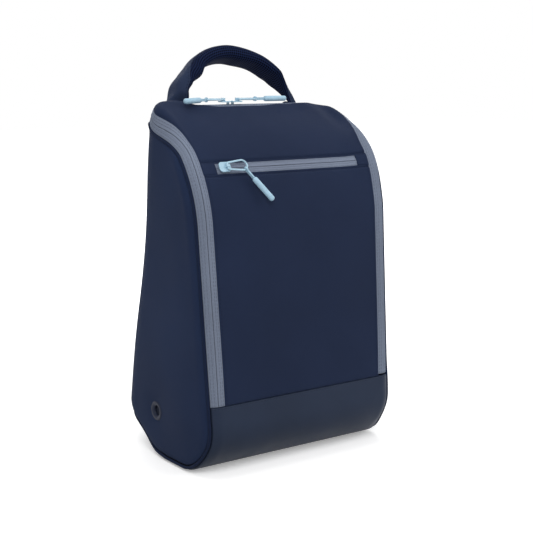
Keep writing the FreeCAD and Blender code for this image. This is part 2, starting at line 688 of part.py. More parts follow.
def arch_stations():
    """Spots along the handle's arch: across, up, outward direction, length run."""
    foot, shoulder = val("handle_half"), val("shoulder_half")
    rise, top = val("shoulder_rise"), val("handle_rise")
    leg = math.hypot(foot - shoulder, rise)
    slope = ((shoulder - foot) / leg, rise / leg)
    spots = [(foot + slope[0] * leg * step / 6.0, slope[1] * leg * step / 6.0,
              slope if step else (0.0, 1.0)) for step in range(6)]
    ends = [(shoulder, rise),
            (shoulder + slope[0] * val("shoulder_pull"), rise + slope[1] * val("shoulder_pull")),
            (val("crown_pull"), top), (0.0, top)]
    for step in range(9):
        t = step / 8.0
        weights = ((1 - t) ** 3, 3 * t * (1 - t) ** 2, 3 * t * t * (1 - t), t ** 3)
        turns = ((1 - t) ** 2, 2 * t * (1 - t), t * t)
        spot = [sum(w * end[i] for w, end in zip(weights, ends)) for i in (0, 1)]
        way = [sum(w * (b[i] - a[i]) for w, a, b in zip(turns, ends, ends[1:])) for i in (0, 1)]
        size = math.hypot(*way)
        spots.append((spot[0], spot[1], (way[0] / size, way[1] / size)))
    stations = []
    run = 0.0
    for place, (across, up, way) in enumerate(spots):
        if place:
            run += math.hypot(across - spots[place - 1][0], up - spots[place - 1][1])
        stations.append((across, up, (way[1], -way[0]), run))
    mirror = [(-x, up, (-out[0], out[1]), run) for x, up, out, run in reversed(stations[:-1])]
    return stations + mirror


def handle_layer(name, low, high):
    """One layer of the handle, between two levels from its inner to its outer face."""
    wires = []
    for across, up, out, run in arch_stations():
        open_part = min(run / val("foot_pinch"), 1.0)
        blend = open_part * open_part * (3.0 - 2.0 * open_part)
        thick = val("foot_wide") + blend * val("handle_thick - foot_wide")
        wide = val("foot_thick") + blend * val("handle_wide - foot_thick")
        centre = foot_spot + ACROSS * across + RISE * up
        outward = ACROSS * out[0] + RISE * out[1]
        corners = [centre + outward * (thick * (level - 0.5)) + DEPTH * (wide * 0.5 * end)
                   for level, end in ((low, -1), (low, 1), (high, 1), (high, -1))]
        wires.append(Part.makePolygon(corners + corners[:1]))
    layer = doc.addObject("Part::Feature", name)
    layer.Shape = Part.makeLoft(wires, True, True)
    return node(name, layer)


mesh_top = val("mesh / handle_thick")
cover_low = 1.0 - val("cover / handle_thick")
handle_layer("handle_mesh", 0.0, mesh_top)
handle_layer("handle_foam", mesh_top, cover_low)
handle_layer("handle_cover", cover_low, 1.0)

patch_layer = cut("patch_layer", proud_layer, piping_zone)
for side, sign, half in SIDES:
    middle_x = "%g * handle_half" % sign
    area = box("patch_area_" + side, (middle_x + " - patch_half", "0", "patch_low"),
               (middle_x + " + patch_half", FAR, FAR))
    node("handle_anchor_" + side, common("handle_anchor_" + side, patch_layer, area))

# ---------------------------------------------------------------- check and write

doc.recompute()
for thing in doc.Objects:
    if "Invalid" in thing.State or "Error" in thing.State:
        raise RuntimeError("%s failed: %s" % (thing.Name, thing.State))
for name, thing in nodes.items():
    if thing.Shape.isNull() or not thing.Shape.isValid():
        raise RuntimeError("%s has no valid shape" % name)
os.makedirs("parts", exist_ok=True)
for name, thing in nodes.items():
    thing.Shape.exportStep(os.path.join("parts", name + ".step"))
    bounds = thing.Shape.BoundBox
    print("%-22s %d solid(s) %9.1f mm3  x %.1f %.1f  y %.1f %.1f  z %.1f %.1f" % (
        name, len(thing.Shape.Solids), thing.Shape.Volume, bounds.XMin, bounds.XMax,
        bounds.YMin, bounds.YMax, bounds.ZMin, bounds.ZMax))
print("foot hinge at y %.2f z %.2f" % (foot_spot.y, foot_spot.z))
print("top zip at y %.2f z %.2f, pocket zip at y %.2f z %.2f" % (
    top_spot.y, top_spot.z, pocket_spot.y, pocket_spot.z))
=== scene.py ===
import math

import bpy
import numpy as np
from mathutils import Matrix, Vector


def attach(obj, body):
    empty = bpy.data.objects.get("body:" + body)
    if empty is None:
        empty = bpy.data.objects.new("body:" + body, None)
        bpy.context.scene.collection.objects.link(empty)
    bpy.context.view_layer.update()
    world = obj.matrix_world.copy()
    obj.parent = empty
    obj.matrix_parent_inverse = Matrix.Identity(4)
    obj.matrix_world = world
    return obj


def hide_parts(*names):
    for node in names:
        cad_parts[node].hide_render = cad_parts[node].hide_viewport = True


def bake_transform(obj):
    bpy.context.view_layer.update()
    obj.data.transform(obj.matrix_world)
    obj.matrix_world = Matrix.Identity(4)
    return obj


# A soft, upright shoe bag with a zipped front flap, a zipped pocket and a padded handle.
# Lengths are worked out in millimetres and written in metres.  X runs across the bag,
# Y from front to back and Z up.

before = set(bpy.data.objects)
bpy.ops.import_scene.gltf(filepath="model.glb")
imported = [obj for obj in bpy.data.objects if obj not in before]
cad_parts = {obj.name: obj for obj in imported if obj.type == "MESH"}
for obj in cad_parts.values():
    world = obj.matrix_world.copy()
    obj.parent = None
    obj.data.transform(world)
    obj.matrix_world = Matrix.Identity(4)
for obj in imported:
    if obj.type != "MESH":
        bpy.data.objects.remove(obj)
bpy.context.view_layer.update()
MM = 0.001

# ---- measures of the bag

SEAM_Y = -87.6                # the seam between guard and flap
SEAM_Z = 72.0
HALF_FOOT = 116.0             # half the width at the foot
SIDE_SLOPE = 7.9 / 400.0      # how much the sides widen upwards
SIDE_TILT = math.atan(SIDE_SLOPE)
BACK_FOOT = SEAM_Y + 187.1
BACK_SLOPE = 77.1 / 400.0     # how much the back leans forwards
BACK_COS = math.cos(math.atan(BACK_SLOPE))
CORNER = 40.0                 # rounding between a side and the back
RIM = 16.0                    # rounding between the wall (sides, back) and the band
LOW_RIM = 4.0                 # rounding of the rim where the bag rests
SLIDE = 11.0                  # how far the zip slides over the rim at the crest's corners
SKIN = 2.4                    # room for the outer cloth
LINING = 0.8
INSIDE = SKIN + 0.1           # depth of the linings
GUARD_Y = SEAM_Y + 42.0       # the seam between guard and base
EYELET_Y = 97.0
EYELET_Z = 48.0
HOLE = 7.0                    # radius of the opening cut in the cloth behind an eyelet

HANDS = (("left", -1.0), ("right", 1.0))

# depths in from the wall, beside the sides and beside the back
EDGE = (2.7, 4.9)
PIPING = (3.7, 6.0)
TAPE_OUT = (5.0, 7.3)
CHAIN = (12.3, 14.4)
FLAP_EDGE = (20.0, 22.0)
CORNER_SEAM = 12.0            # from the side to the upright seam on the back

# corners of the side view: Y, Z and rounding, from the rear of the base over the front
CORNERS = [(SEAM_Y + 238.0, 78.1, 0.0), (SEAM_Y + 108.0, 0.0, 50.0), (SEAM_Y - 5.8, 0.0, 48.0),
           (SEAM_Y + 18.8, 305.7, 125.0), (SEAM_Y + 99.0, 357.8, 20.0),
           (SEAM_Y + 229.0, 348.7, 0.0)]


# ---- small helpers

def bump(x, low, high):
    """A smooth hump between two values, nothing outside them."""
    t = np.clip((x - low) / (high - low), 0, 1)
    return np.sin(np.pi * t) ** 2


def ease(x, low, high):
    """0 up to the low value, 1 from the high one on, and smooth between them."""
    t = np.clip((x - low) / (high - low), 0, 1)
    return t * t * (3 - 2 * t)


def unit(v):
    v = np.asarray(v, float)
    return v / np.maximum(np.linalg.norm(v, axis=-1, keepdims=True), 1e-9)


def mirror(grid):
    return grid * np.array([-1.0, 1.0, 1.0])


def run_along(path):
    """Distance from a path's start to each of its spots."""
    return np.concatenate([[0.0], np.cumsum(np.linalg.norm(np.diff(path, axis=0), axis=1))])


def at_runs(places, run, table):
    """Rows of a table at places along its run."""
    return np.stack([np.interp(places, run, column) for column in table.T], -1)


def best_run(run, miss, allowed=slice(None)):
    """The run at which a miss is smallest, among the allowed spots."""
    return float(run[allowed][np.argmin(miss[allowed])])


def runs_of(grid, axis):
    """Distances along a grid's columns (axis 0) or rows (axis 1), from their starts."""
    steps = np.linalg.norm(np.diff(grid, axis=axis), axis=-1)
    start = np.zeros_like(steps[:1] if axis == 0 else steps[:, :1])
    return np.concatenate([start, np.cumsum(steps, axis)], axis)


def crowd(count, power=1.6):
    """Numbers from 0 to 1 that lie closer together at both ends."""
    t = np.linspace(-1, 1, count)
    return 0.5 + 0.5 * np.sign(t) * (1 - (1 - np.abs(t)) ** power)


def coons(low, high, left, right):
    """A sheet of spots between four curves: low and high run across, left and right up."""
    u = np.linspace(0, 1, len(low))[None, :, None]
    v = np.linspace(0, 1, len(left))[:, None, None]
    ruled = (1 - v) * low[None] + v * high[None] + (1 - u) * left[:, None] + u * right[:, None]
    flat = ((1 - u) * (1 - v) * low[0] + u * (1 - v) * low[-1]
            + (1 - u) * v * high[0] + u * v * high[-1])
    return ruled - flat


def spaced(curve, shares):
    """Spots at shares of a curve's length."""
    run = run_along(curve)
    return at_runs(np.asarray(shares) * run[-1], run, curve)


# ---- form of the bag

def make_profile():
    """Lines and arcs of the side view, from the rear of the base over front and top."""
    spots = np.array([c[:2] for c in CORNERS])
    ways = unit(spots[1:] - spots[:-1])
    normals = np.stack([-ways[:, 1], ways[:, 0]], 1)
    arcs = []
    path = [spots[0]]
    for i in range(1, len(spots) - 1):
        radius = CORNERS[i][2]
        sweep = math.acos(float(np.clip(normals[i - 1] @ normals[i], -1, 1)))
        cut = radius * math.tan(0.5 * sweep)
        first = spots[i] - ways[i - 1] * cut
        centre = first - normals[i - 1] * radius
        arcs.append((centre, radius, normals[i - 1], normals[i]))
        angle = math.atan2(normals[i - 1][1], normals[i - 1][0])
        sign = 1.0 if np.cross(normals[i - 1], normals[i]) > 0 else -1.0
        steps = max(int(radius * sweep / 0.5), 4)
        for k in range(steps + 1):
            a = angle + sign * sweep * k / steps
            path.append(centre + radius * np.array([math.cos(a), math.sin(a)]))
    path.append(spots[-1])
    path = np.array(path)
    fine = [path[:1]]
    for a, b in zip(path[:-1], path[1:]):
        count = max(int(np.linalg.norm(b - a) / 0.5), 1)
        fine.append(a + (b - a) * (np.arange(1, count + 1) / count)[:, None])
    path = np.concatenate(fine)
    return spots, normals, arcs, path, run_along(path)


LINE_SPOTS, LINE_NORMALS, ARCS, PROFILE, PROFILE_RUN = make_profile()


def profile_at(run):
    """Spot in the side view at a run along the profile."""
    return at_runs(run, PROFILE_RUN, PROFILE)


def cross2(a, b):
    return a[..., 0] * b[..., 1] - a[..., 1] * b[..., 0]


def band(p):
    """Distance outside the rounded side view; negative inside."""
    q = p[..., 1:3]
    d = np.max(np.stack([(q - LINE_SPOTS[i]) @ LINE_NORMALS[i]
                         for i in range(len(LINE_NORMALS))]), axis=0)
    for centre, radius, first, last in ARCS:
        v = q - centre
        k = float(cross2(first, last))
        inside = (cross2(v, last) / k >= 0) & (cross2(first, v) / k >= 0)
        d = np.where(inside, np.linalg.norm(v, axis=-1) - radius, d)
    return d


def side_at(z):
    return HALF_FOOT + SIDE_SLOPE * z


def back_at(z):
    return BACK_FOOT - BACK_SLOPE * z


def rounded(a, b, radius):
    """Distance outside two faces that meet in a rounding, which lies a radius inside both."""
    return (np.hypot(np.maximum(a, 0), np.maximum(b, 0))
            + np.minimum(np.maximum(a, b), 0) - radius)


def wall(p):
    """Distance outside the wall of sides and back; negative inside."""
    return rounded(np.abs(p[..., 0]) - side_at(p[..., 2]) + CORNER,
                   (p[..., 1] - back_at(p[..., 2])) * BACK_COS + CORNER, CORNER)


def form(p):
    """Distance outside the bag, its rim rounded; negative inside."""
    return rounded(wall(p) + RIM, band(p) + RIM, RIM)


def slope_of(field, p, step=0.02):
    """Gradient of a field of distances."""
    return np.stack([(field(p + shift) - field(p - shift)) / (2 * step)
                     for shift in np.eye(3) * step], -1)


def normal_at(p):
    return unit(slope_of(form, p, 0.3))


def band_normal(p):
    return unit(slope_of(band, p))


def settle(p, way, depth=0.0):
    """Move points along directions until they lie a depth below the bag's surface."""
    p = np.array(p, float)
    way = np.broadcast_to(np.asarray(way, float), p.shape)
    for _ in range(14):
        gap = form(p) + depth
        rate = (form(p + 0.02 * way) - form(p - 0.02 * way)) / 0.04
        rate = np.where(np.abs(rate) < 0.25, 0.25, rate)
        p = p - way * np.clip(gap / rate, -6, 6)[..., None]
    return p


# ---- the loop of the rim

def half_loop():
    """The line where wall and band would meet, from bottom centre to top centre."""
    front = best_run(PROFILE_RUN, np.abs(PROFILE[:, 1] - 40), PROFILE[:, 0] <= -60)
    low = PROFILE[PROFILE_RUN < front]
    low = low[np.argsort(low[:, 0])]
    high = PROFILE[PROFILE[:, 1] > 250]
    high = high[np.argsort(high[:, 0])]

    def corner(table, angles):
        z = np.full(len(angles), table[-1, 1])
        for _ in range(30):
            y = back_at(z) - CORNER * (1 - np.sin(angles)) / BACK_COS
            z = np.interp(y, table[:, 0], table[:, 1])
        return np.stack([-(side_at(z) - CORNER + CORNER * np.cos(angles)), y, z], 1)

    turn = np.linspace(math.pi / 2, 0, 80)
    first, last = corner(low, turn), corner(high, turn[::-1])
    start, finish = first[0] * np.array([0, 1, 1]), last[-1] * np.array([0, 1, 1])
    lowest, highest = (best_run(PROFILE_RUN, np.linalg.norm(PROFILE - spot[1:], axis=1))
                       for spot in (first[-1], last[0]))
    middle = PROFILE[(PROFILE_RUN > lowest + 0.6) & (PROFILE_RUN < highest - 0.6)]
    shares = np.linspace(0, 1, 60)[:, None]
    parts = [start + (first[0] - start) * shares[:-1], first,
             np.stack([-side_at(middle[:, 1]), middle[:, 0], middle[:, 1]], 1), last,
             last[-1] + (finish - last[-1]) * shares[1:]]
    line = np.concatenate(parts)
    beside_back = np.concatenate([np.ones(len(parts[0])), np.sin(turn) ** 2,
                                  np.zeros(len(middle)), np.sin(turn[::-1]) ** 2,
                                  np.ones(len(parts[4]))])
    run = run_along(line)
    corners = run[len(parts[0]) + 40], run[len(line) - len(parts[4]) - 40]
    even = np.append(np.arange(0, run[-1], 1.0), run[-1])
    return at_runs(even, run, line), even, np.interp(even, run, beside_back), corners


LOOP, LOOP_RUN, LOOP_BACK, (CORNER_LOW, CORNER_HIGH) = half_loop()
LOOP_END = float(LOOP_RUN[-1])
LOOP_WAY = unit(np.gradient(LOOP, LOOP_RUN, axis=0))

# runs along the loop: seam of the flap, seam of the base, and where the side panel's
# front edge begins and ends
SEAM_RUN = best_run(LOOP_RUN, np.abs(LOOP[:, 2] - SEAM_Z),
                    (LOOP[:, 1] < SEAM_Y + 60) & (LOOP[:, 2] > 20))
GUARD_RUN = best_run(LOOP_RUN, np.abs(LOOP[:, 1] - GUARD_Y),
                     (LOOP[:, 2] < 20) & (LOOP[:, 1] < 20))
TOE_RUN = best_run(LOOP_RUN, np.abs(LOOP[:, 1] - (SEAM_Y + 4)), LOOP[:, 2] <= 30)
BROW_RUN = best_run(LOOP_RUN, np.abs(LOOP[:, 2] - 312), LOOP[:, 1] <= -20)

# runs along the profile: seam of the flap and middle of the pocket's zip
SEAM_S = best_run(PROFILE_RUN, np.abs(PROFILE[:, 1] - SEAM_Z),
                  (PROFILE[:, 0] < SEAM_Y + 60) & (PROFILE[:, 1] > 60))
POCKET_SPOT = np.array([-56.39, 298.57])
POCKET_S = best_run(PROFILE_RUN, np.linalg.norm(PROFILE - POCKET_SPOT, axis=1))


def over_rim(depth, slide):
    """Place across the rim of a line that lies a depth in from the wall, once the strip has
    slid outwards: distances (w, b) outside the wall and the band."""
    lean = np.arccos(np.clip(1 - depth / RIM, -1, 1))
    quarter = RIM * math.pi / 2
    run = np.where(depth < RIM, RIM * np.minimum(lean, math.pi / 2), quarter + depth - RIM)
    run = run - slide
    turn = np.clip(run / RIM, 0, math.pi / 2)
    w = -RIM * (1 - np.cos(turn)) - np.maximum(run - quarter, 0)
    b = -RIM * (1 - np.sin(turn)) + np.minimum(run, 0)
    return w, b


def on_loop(runs, inset, depth=0.0):
    """Spots at stations of the rim: an inset from the wall (beside the sides, beside the
    back), and a depth below the surface.

    runs go from 0 at the bottom centre, over the left side, to LOOP_END at the top
    centre, and on down the right side to 2 * LOOP_END."""
    runs = np.asarray(runs, float)
    mirrored = runs > LOOP_END
    r = np.where(mirrored, 2 * LOOP_END - runs, runs)
    spot = at_runs(r, LOOP_RUN, LOOP)
    way = unit(at_runs(r, LOOP_RUN, LOOP_WAY))
    inwards = inset[0] + (inset[1] - inset[0]) * np.interp(r, LOOP_RUN, LOOP_BACK)
    slide = SLIDE * ease(-spot[..., 0], 62, 104) * ease(spot[..., 2], 312, 354)
    w, b = over_rim(inwards, slide)
    p = spot + slope_of(wall, spot) * w[..., None] + slope_of(band, spot) * b[..., None]
    for _ in range(12):
        error = np.stack([wall(p) - w, band(p) - b, np.sum((p - spot) * way, -1)], -1)
        rows = np.stack([slope_of(wall, p), slope_of(band, p), way], -2)
        step = np.linalg.solve(rows, error[..., None])[..., 0]
        p = p - np.clip(step, -8, 8)
    p = p - normal_at(p) * np.asarray(depth)[..., None]
    p[..., 0] = np.where(mirrored, -p[..., 0], p[..., 0])
    return p


def through_middle(corner, middle, inset, shares):
    """A row of spots along the rim, from the left corner through the middle to the right."""
    half = on_loop(np.linspace(corner, middle, 160), inset)
    return spaced(np.concatenate([half, mirror(half[-2::-1])]), shares)


def level_rows(x, yz):
    """Level rows across the bag, one for each spot (Y, Z) of the side view."""
    yz = np.atleast_2d(yz)[:, None]
    return np.stack(np.broadcast_arrays(x, yz[..., 0], yz[..., 1]), -1)


# ---- softness

def tighter_rim(a, b):
    """How much further out a tighter rounding lies than the rim's own, at the spot (a, b)."""
    angle = np.arctan2(b, np.maximum(a, 1e-6))
    c = np.maximum(np.cos(angle), 1e-6)
    d = np.maximum(np.sin(angle), 1e-6)
    spare = RIM - LOW_RIM
    root = spare ** 2 * ((c + d) ** 2 - 2) + LOW_RIM ** 2
    reach = spare * (c + d) + np.sqrt(np.maximum(root, 0))
    reach = np.where(c * RIM <= spare * d, RIM / d, reach)
    reach = np.where(d * RIM <= spare * c, RIM / c, reach)
    return reach / RIM


def eyelet_spot(hand):
    """Centre and outward axis of an eyelet, for hand -1 (left) or 1 (right)."""
    spot = np.array([hand * side_at(EYELET_Z), SEAM_Y + EYELET_Y, EYELET_Z])
    axis = np.array([hand * math.cos(SIDE_TILT), 0, -math.sin(SIDE_TILT)])
    return spot, axis


def off_eyelet(p):
    """Distance of spots from the nearer eyelet's axis, and the way outward from it."""
    away = (p - np.array([0, SEAM_Y + EYELET_Y, EYELET_Z])) * np.array([0, 1, 1])
    far = np.linalg.norm(away, axis=-1)
    return far, away / np.maximum(far, 1e-6)[..., None]


def slump(p):
    """The slack of the cloth: moves every soft piece alike, so that seams stay shut."""
    p = np.array(p, float)
    x, y, z = p[..., 0].copy(), p[..., 1].copy(), p[..., 2].copy()
    out_wall, out_band = wall(p), band(p)
    way_wall, way_band = slope_of(wall, p, 0.3), slope_of(band, p, 0.3)
    normal = normal_at(p)

    # the lower rim is filled out by the weight of the bag
    a = np.maximum(out_wall + RIM, 0)
    b = np.maximum(out_band + RIM, 0)
    grow = (tighter_rim(a, b) - 1) * (1 - ease(z, 18, 62)) * ((a > 0) & (b > 0))
    grow = grow * ease(y, -84, -56) * (1 - ease(y, -15, 38))
    p += way_wall * (a * grow)[..., None] + way_band * (b * grow)[..., None]

    # the sides belly out near the base, and the toe lifts a little
    far, _ = off_eyelet(p)
    belly = ease(np.abs(x), 60, 112) * (1 - ease(z, 70, 190)) * ease(y, -84, -40)
    belly = belly * (1 - 0.6 * ease(y, 10, 50)) * (1 - np.exp(-(far / 26.0) ** 2))
    p[..., 0] += belly * np.where(x < 0, -2.8, 0.4)
    toe = (1 - ease(z, 8, 60)) * (1 - ease(y, -78, -45))
    p[..., 2] += 2.9 * toe
    p[..., 0] -= 2.0 * toe * ease(x, 85, 116)

    # the back sinks in a little and the sides wave
    p[..., 1] -= 3.4 * ease(y, -30, 40) * bump(z, 90, 340)
    p[..., 0] -= (np.sign(x) * 1.6 * ease(np.abs(x), 60, 115) * bump(z, 120, 330)
                  * ease(y, -60, 20))

    # the zip stands out from the rim, except along the straight run of the two sliders
    depth = -out_wall
    from_pulls = np.where(x > 0, x - 22, -x - 7)
    free = 1 - (1 - ease(from_pulls, 48, 74)) * ease(y, -40, -5)
    puffed = 1.5 * bump(depth, 2.5, 25) * ease(out_band, -RIM, -2) * ease(z, 60, 110) * free
    p += normal * puffed[..., None]

    # the rear corners of the crest droop outside the flap, and the flap's left corner peaks
    high = ease(z, 285, 345) * ease(y, -45, 12)
    near_wall = 1 - ease(depth, 1, 19)
    p[..., 2] -= (3.0 * ease(-x, 78, 112) + 2.0 * ease(x, 74, 112)) * high * near_wall
    crest = ease(z, 315, 350) * ease(y, -50, -5) * ease(depth, 3, 19)
    p[..., 2] += (3.8 * ease(-x, 62, 98) + 3.2 * ease(-x, 92, 112)
                  - 6.6 * ease(x, 74, 102)) * crest
    ahead = ease(z, 300, 336) * ease(y, -85, -50) * (1 - ease(y, -28, -2)) * ease(depth, 3, 19)
    p[..., 2] -= 2.2 * ease(x, 48, 84) * ahead
    spread = ease(-x, 84, 112) * ease(z, 328, 350) * ease(y, -45, 0)
    p[..., 0] -= (2.5 + 6.0 * ease(depth, 0, 12)) * spread
    shoulder = ease(x, 70, 108) * bump(z, 262, 352) * ease(depth, 0, 8)
    p += normal * (3.2 * shoulder)[..., None]
    return p


# ---- mesh making
#
# A shape is a tuple of spots, faces and, for woven pieces, the cloth coordinates.

materials = {}
surfaces = {}                 # outer face and outward ways of each panel, for its sewing


def new_object(name, data):
    thing = bpy.data.objects.new(name, data)
    bpy.context.scene.collection.objects.link(thing)
    return thing


def add_piece(name, shape, body, slot, stands_for=()):
    """A shape in millimetres becomes a piece that rides on a body."""
    spots, faces, *cloth_uv = shape
    mesh = bpy.data.meshes.new(name)
    mesh.from_pydata((np.asarray(spots, float) * MM).tolist(), [], [tuple(f) for f in faces])
    if cloth_uv:
        layer = mesh.uv_layers.new(name="Weave")
        corner = np.zeros(len(mesh.loops), int)
        mesh.loops.foreach_get("vertex_index", corner)
        layer.uv.foreach_set("vector", (cloth_uv[0] * MM)[corner].ravel())
    mesh.validate()
    mesh.polygons.foreach_set("use_smooth", [True] * len(mesh.polygons))
    piece = new_object(name, mesh)
    if body:
        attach(piece, body)
    piece.data.materials.append(materials[slot])
    if stands_for:
        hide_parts(*stands_for)
    return piece


def grid_faces(rows, cols, start=0, flip=False):
    index = np.arange(rows * cols).reshape(rows, cols) + start
    quads = np.stack([index[:-1, :-1], index[:-1, 1:], index[1:, 1:], index[1:, :-1]], -1)
    quads = quads.reshape(-1, 4)
    return (quads[:, ::-1] if flip else quads).tolist()


def grid_normals(grid):
    across = np.gradient(grid, axis=1)
    up = np.gradient(grid, axis=0)
    return unit(np.cross(across, up))


def faced(grid, outward):
    """A grid and its normals, turned over where it would face inwards."""
    facing = grid_normals(grid)
    if np.sum(facing * outward) < 0:
        return grid[:, ::-1], -facing[:, ::-1]
    return grid, facing


def lengths(grid):
    """Distances along both ways of a grid, measured from its middle."""
    u, v = runs_of(grid, 1), runs_of(grid, 0)
    row, col = grid.shape[0] // 2, grid.shape[1] // 2
    return np.stack([u - u[:, col:col + 1], v - v[row:row + 1]], -1)


def from_edge(grid):
    """Distance of each spot of a grid from the grid's nearest edge."""
    u, v = runs_of(grid, 1), runs_of(grid, 0)
    return np.minimum(np.minimum(u, u[:, -1:] - u), np.minimum(v, v[-1:] - v))


def sheet_mesh(outer, normals, thick, curl=0.35):
    """A closed sheet: outer face, inner face and rounded edges between them."""
    rows, cols = outer.shape[:2]
    inner = outer - normals * thick
    faces = grid_faces(rows, cols) + grid_faces(rows, cols, rows * cols, flip=True)
    index = np.arange(rows * cols).reshape(rows, cols)
    rim = np.concatenate([index[0, :-1], index[:-1, -1], index[-1, :0:-1], index[:0:-1, 0]])
    beyond = np.zeros((rows, cols, 3))
    beyond[0] = outer[0] - outer[1]
    beyond[-1] = outer[-1] - outer[-2]
    beyond[:, 0] = outer[:, 0] - outer[:, 1]
    beyond[:, -1] = outer[:, -1] - outer[:, -2]
    spots, n, beyond, uv = (part.reshape(rows * cols, -1)
                            for part in (outer, normals, unit(beyond), lengths(outer)))
    rings = [spots[rim] - n[rim] * thick * share
             + beyond[rim] * (curl * math.sin(math.pi * share) * thick * 0.5)
             for share in (0.22, 0.5, 0.78)]
    loops = [2 * rows * cols + k * len(rim) + np.arange(len(rim)) for k in range(3)]
    loops = [rim, *loops, rim + rows * cols]
    for a, b in zip(loops[:-1], loops[1:]):
        faces += np.stack([np.roll(a, -1), a, b, np.roll(b, -1)], 1).tolist()
    return (np.concatenate([spots, inner.reshape(-1, 3), *rings]), faces,
            np.concatenate([uv, uv] + [uv[rim]] * 3))


def wrinkles(p, size, seed):
    """Smooth random folds over space, about one high, built from a few waves."""
    local = np.random.default_rng(seed)
    total = np.zeros(p.shape[:-1])
    for _ in range(9):
        way = unit(local.normal(size=3))
        total += np.sin(p @ way * (2 * math.pi / (size * local.uniform(0.6, 1.6)))
                        + local.uniform(0, 6.28))
    return total / 4.0


def pierced(outer):
    """The grid with its spots near an eyelet drawn to the hole's edge."""
    far, away = off_eyelet(outer)
    draw = np.where(far < HOLE, HOLE - far, 0)
    return outer + away * draw[..., None]


def without_hole(shape):
    """A shape without the faces that lie inside an eyelet's hole."""
    spots, faces, uv = shape
    far, _ = off_eyelet(spots)
    shut = (far < HOLE + 0.05) & (np.abs(spots[:, 0]) > 90)
    return spots, [f for f in faces if not all(shut[i] for i in f)], uv


def panel(name, grid, body, slot, stands_for, seam=0.9, puff=1.2, fold=0.35, size=70.0,
          seed=1, hole=False, extra=0.0, tuck=2.2):
    """A padded cloth panel on the bag's surface: puffed middle, tucked seams."""
    normals = normal_at(grid)
    near = from_edge(grid)
    middle = ease(near, 0, 45.0)
    lift = (puff * middle - seam * np.exp(-near / tuck) + extra
            + fold * wrinkles(grid, size, seed) * middle)
    if hole:
        far, _ = off_eyelet(grid)
        lift = lift * (1 - np.exp(-(far / 20.0) ** 2)) - 0.25 * np.exp(-(far / 12.0) ** 2)
    outer = slump(grid + normals * lift[..., None])
    surfaces[name] = faced(pierced(outer) if hole else outer, normals)
    shape = sheet_mesh(*surfaces[name], SKIN - 0.15)
    add_piece(name, without_hole(shape) if hole else shape, body, slot, stands_for)


def near_edge(name, edge, inset, start=0.0, stop=1.0):
    """A line on a panel at an inset from one of its edges: spots and outward ways."""
    outer, facing = surfaces[name]
    if edge in ("left", "right"):
        outer, facing = outer.transpose(1, 0, 2), facing.transpose(1, 0, 2)
    if edge in ("high", "right"):
        outer, facing = outer[::-1], facing[::-1]
    line, ways = [], []
    for column in range(int(start * outer.shape[1]), int(stop * outer.shape[1])):
        run = run_along(outer[:, column])
        line.append(at_runs(inset, run, outer[:, column]))
        ways.append(at_runs(inset, run, facing[:, column]))
    return np.array(line), unit(np.array(ways))


def sweep_tube(path, side, up, section, closed=False):
    """Rings of a section (across, up) along a path; side and up give each ring's frame."""
    count = len(section)
    rings = (path[:, None] + side[:, None] * section[None, :, 0:1]
             + up[:, None] * section[None, :, 1:2])
    spots = rings.reshape(-1, 3)
    faces = []
    steps = len(path)
    for i in range(steps if closed else steps - 1):
        a = i * count
        b = ((i + 1) % steps) * count
        faces += [(a + j, a + (j + 1) % count, b + (j + 1) % count, b + j)
                  for j in range(count)]
    if not closed:
        faces.append(tuple(range(count))[::-1])
        faces.append(tuple(range((steps - 1) * count, steps * count)))
    return spots, faces


def circle(radius, count):
    a = np.linspace(0, 2 * math.pi, count, endpoint=False)
    return np.stack([radius * np.cos(a), radius * np.sin(a)], 1)


def frames(path, closed=False):
    """Unit directions along a path."""
    if closed:
        way = np.roll(path, -1, axis=0) - np.roll(path, 1, axis=0)
    else:
        way = np.gradient(path, axis=0)
    return unit(way)


def joined(shapes):
    """Several shapes as one."""
    faces, start = [], 0
    for spots, own_faces, *_ in shapes:
        faces += [tuple(int(i) + start for i in face) for face in own_faces]
        start += len(spots)
    spots, _, *cloth_uv = zip(*shapes)
    return (np.concatenate(spots), faces, *(np.concatenate(uv) for uv in cloth_uv))


STITCH = 2.7                  # length of a stitch
STITCH_GAP = 0.9


def stitches(line, ways, radius):
    """Stitches along a line: each a short thread that dives into the cloth at both ends."""
    run = run_along(line)
    count = max(int(run[-1] / (STITCH + STITCH_GAP)), 1)
    share = np.array([0.0, 0.12, 0.35, 0.65, 0.88, 1.0])
    rise = np.array([-0.53, -0.20, -0.08, -0.08, -0.20, -0.53])
    at = (np.arange(count) + 0.5)[:, None] * (run[-1] / count) + (share - 0.5) * STITCH
    up = unit(at_runs(at, run, ways))
    spots = at_runs(at, run, line) + up * rise[:, None]
    along = unit(np.gradient(spots, axis=1))
    across = unit(np.cross(along, up))
    return [sweep_tube(*thread, circle(radius, 6))
            for thread in zip(spots, across, np.cross(across, along))]


def sew(name, lines, body, slot="thread", radius=0.26):
    """One piece of sewing from several lines, each with its spots and outward ways."""
    add_piece(name, joined([stitch for line, ways in lines
                            for stitch in stitches(line, ways, radius)]), body, slot)


# ---- materials

def fill(nt, node, inputs):
    """Sets a node's inputs: an output of another node is linked, a value is set."""
    for key, value in inputs.items():
        if isinstance(value, bpy.types.NodeSocket):
            nt.links.new(value, node.inputs[key])
        else:
            node.inputs[key].default_value = value


def new_node(nt, kind, inputs=None, **settings):
    node = nt.nodes.new(kind)
    for key, value in settings.items():
        setattr(node, key, value)
    fill(nt, node, inputs or {})
    return node


def empty_tree(owner):
    owner.use_nodes = True
    owner.node_tree.nodes.clear()
    return owner.node_tree


def new_material(name):
    m = bpy.data.materials.new(name)
    nt = empty_tree(m)
    shader = new_node(nt, "ShaderNodeBsdfPrincipled")
    new_node(nt, "ShaderNodeOutputMaterial", {0: shader.outputs[0]})
    return m, nt, shader


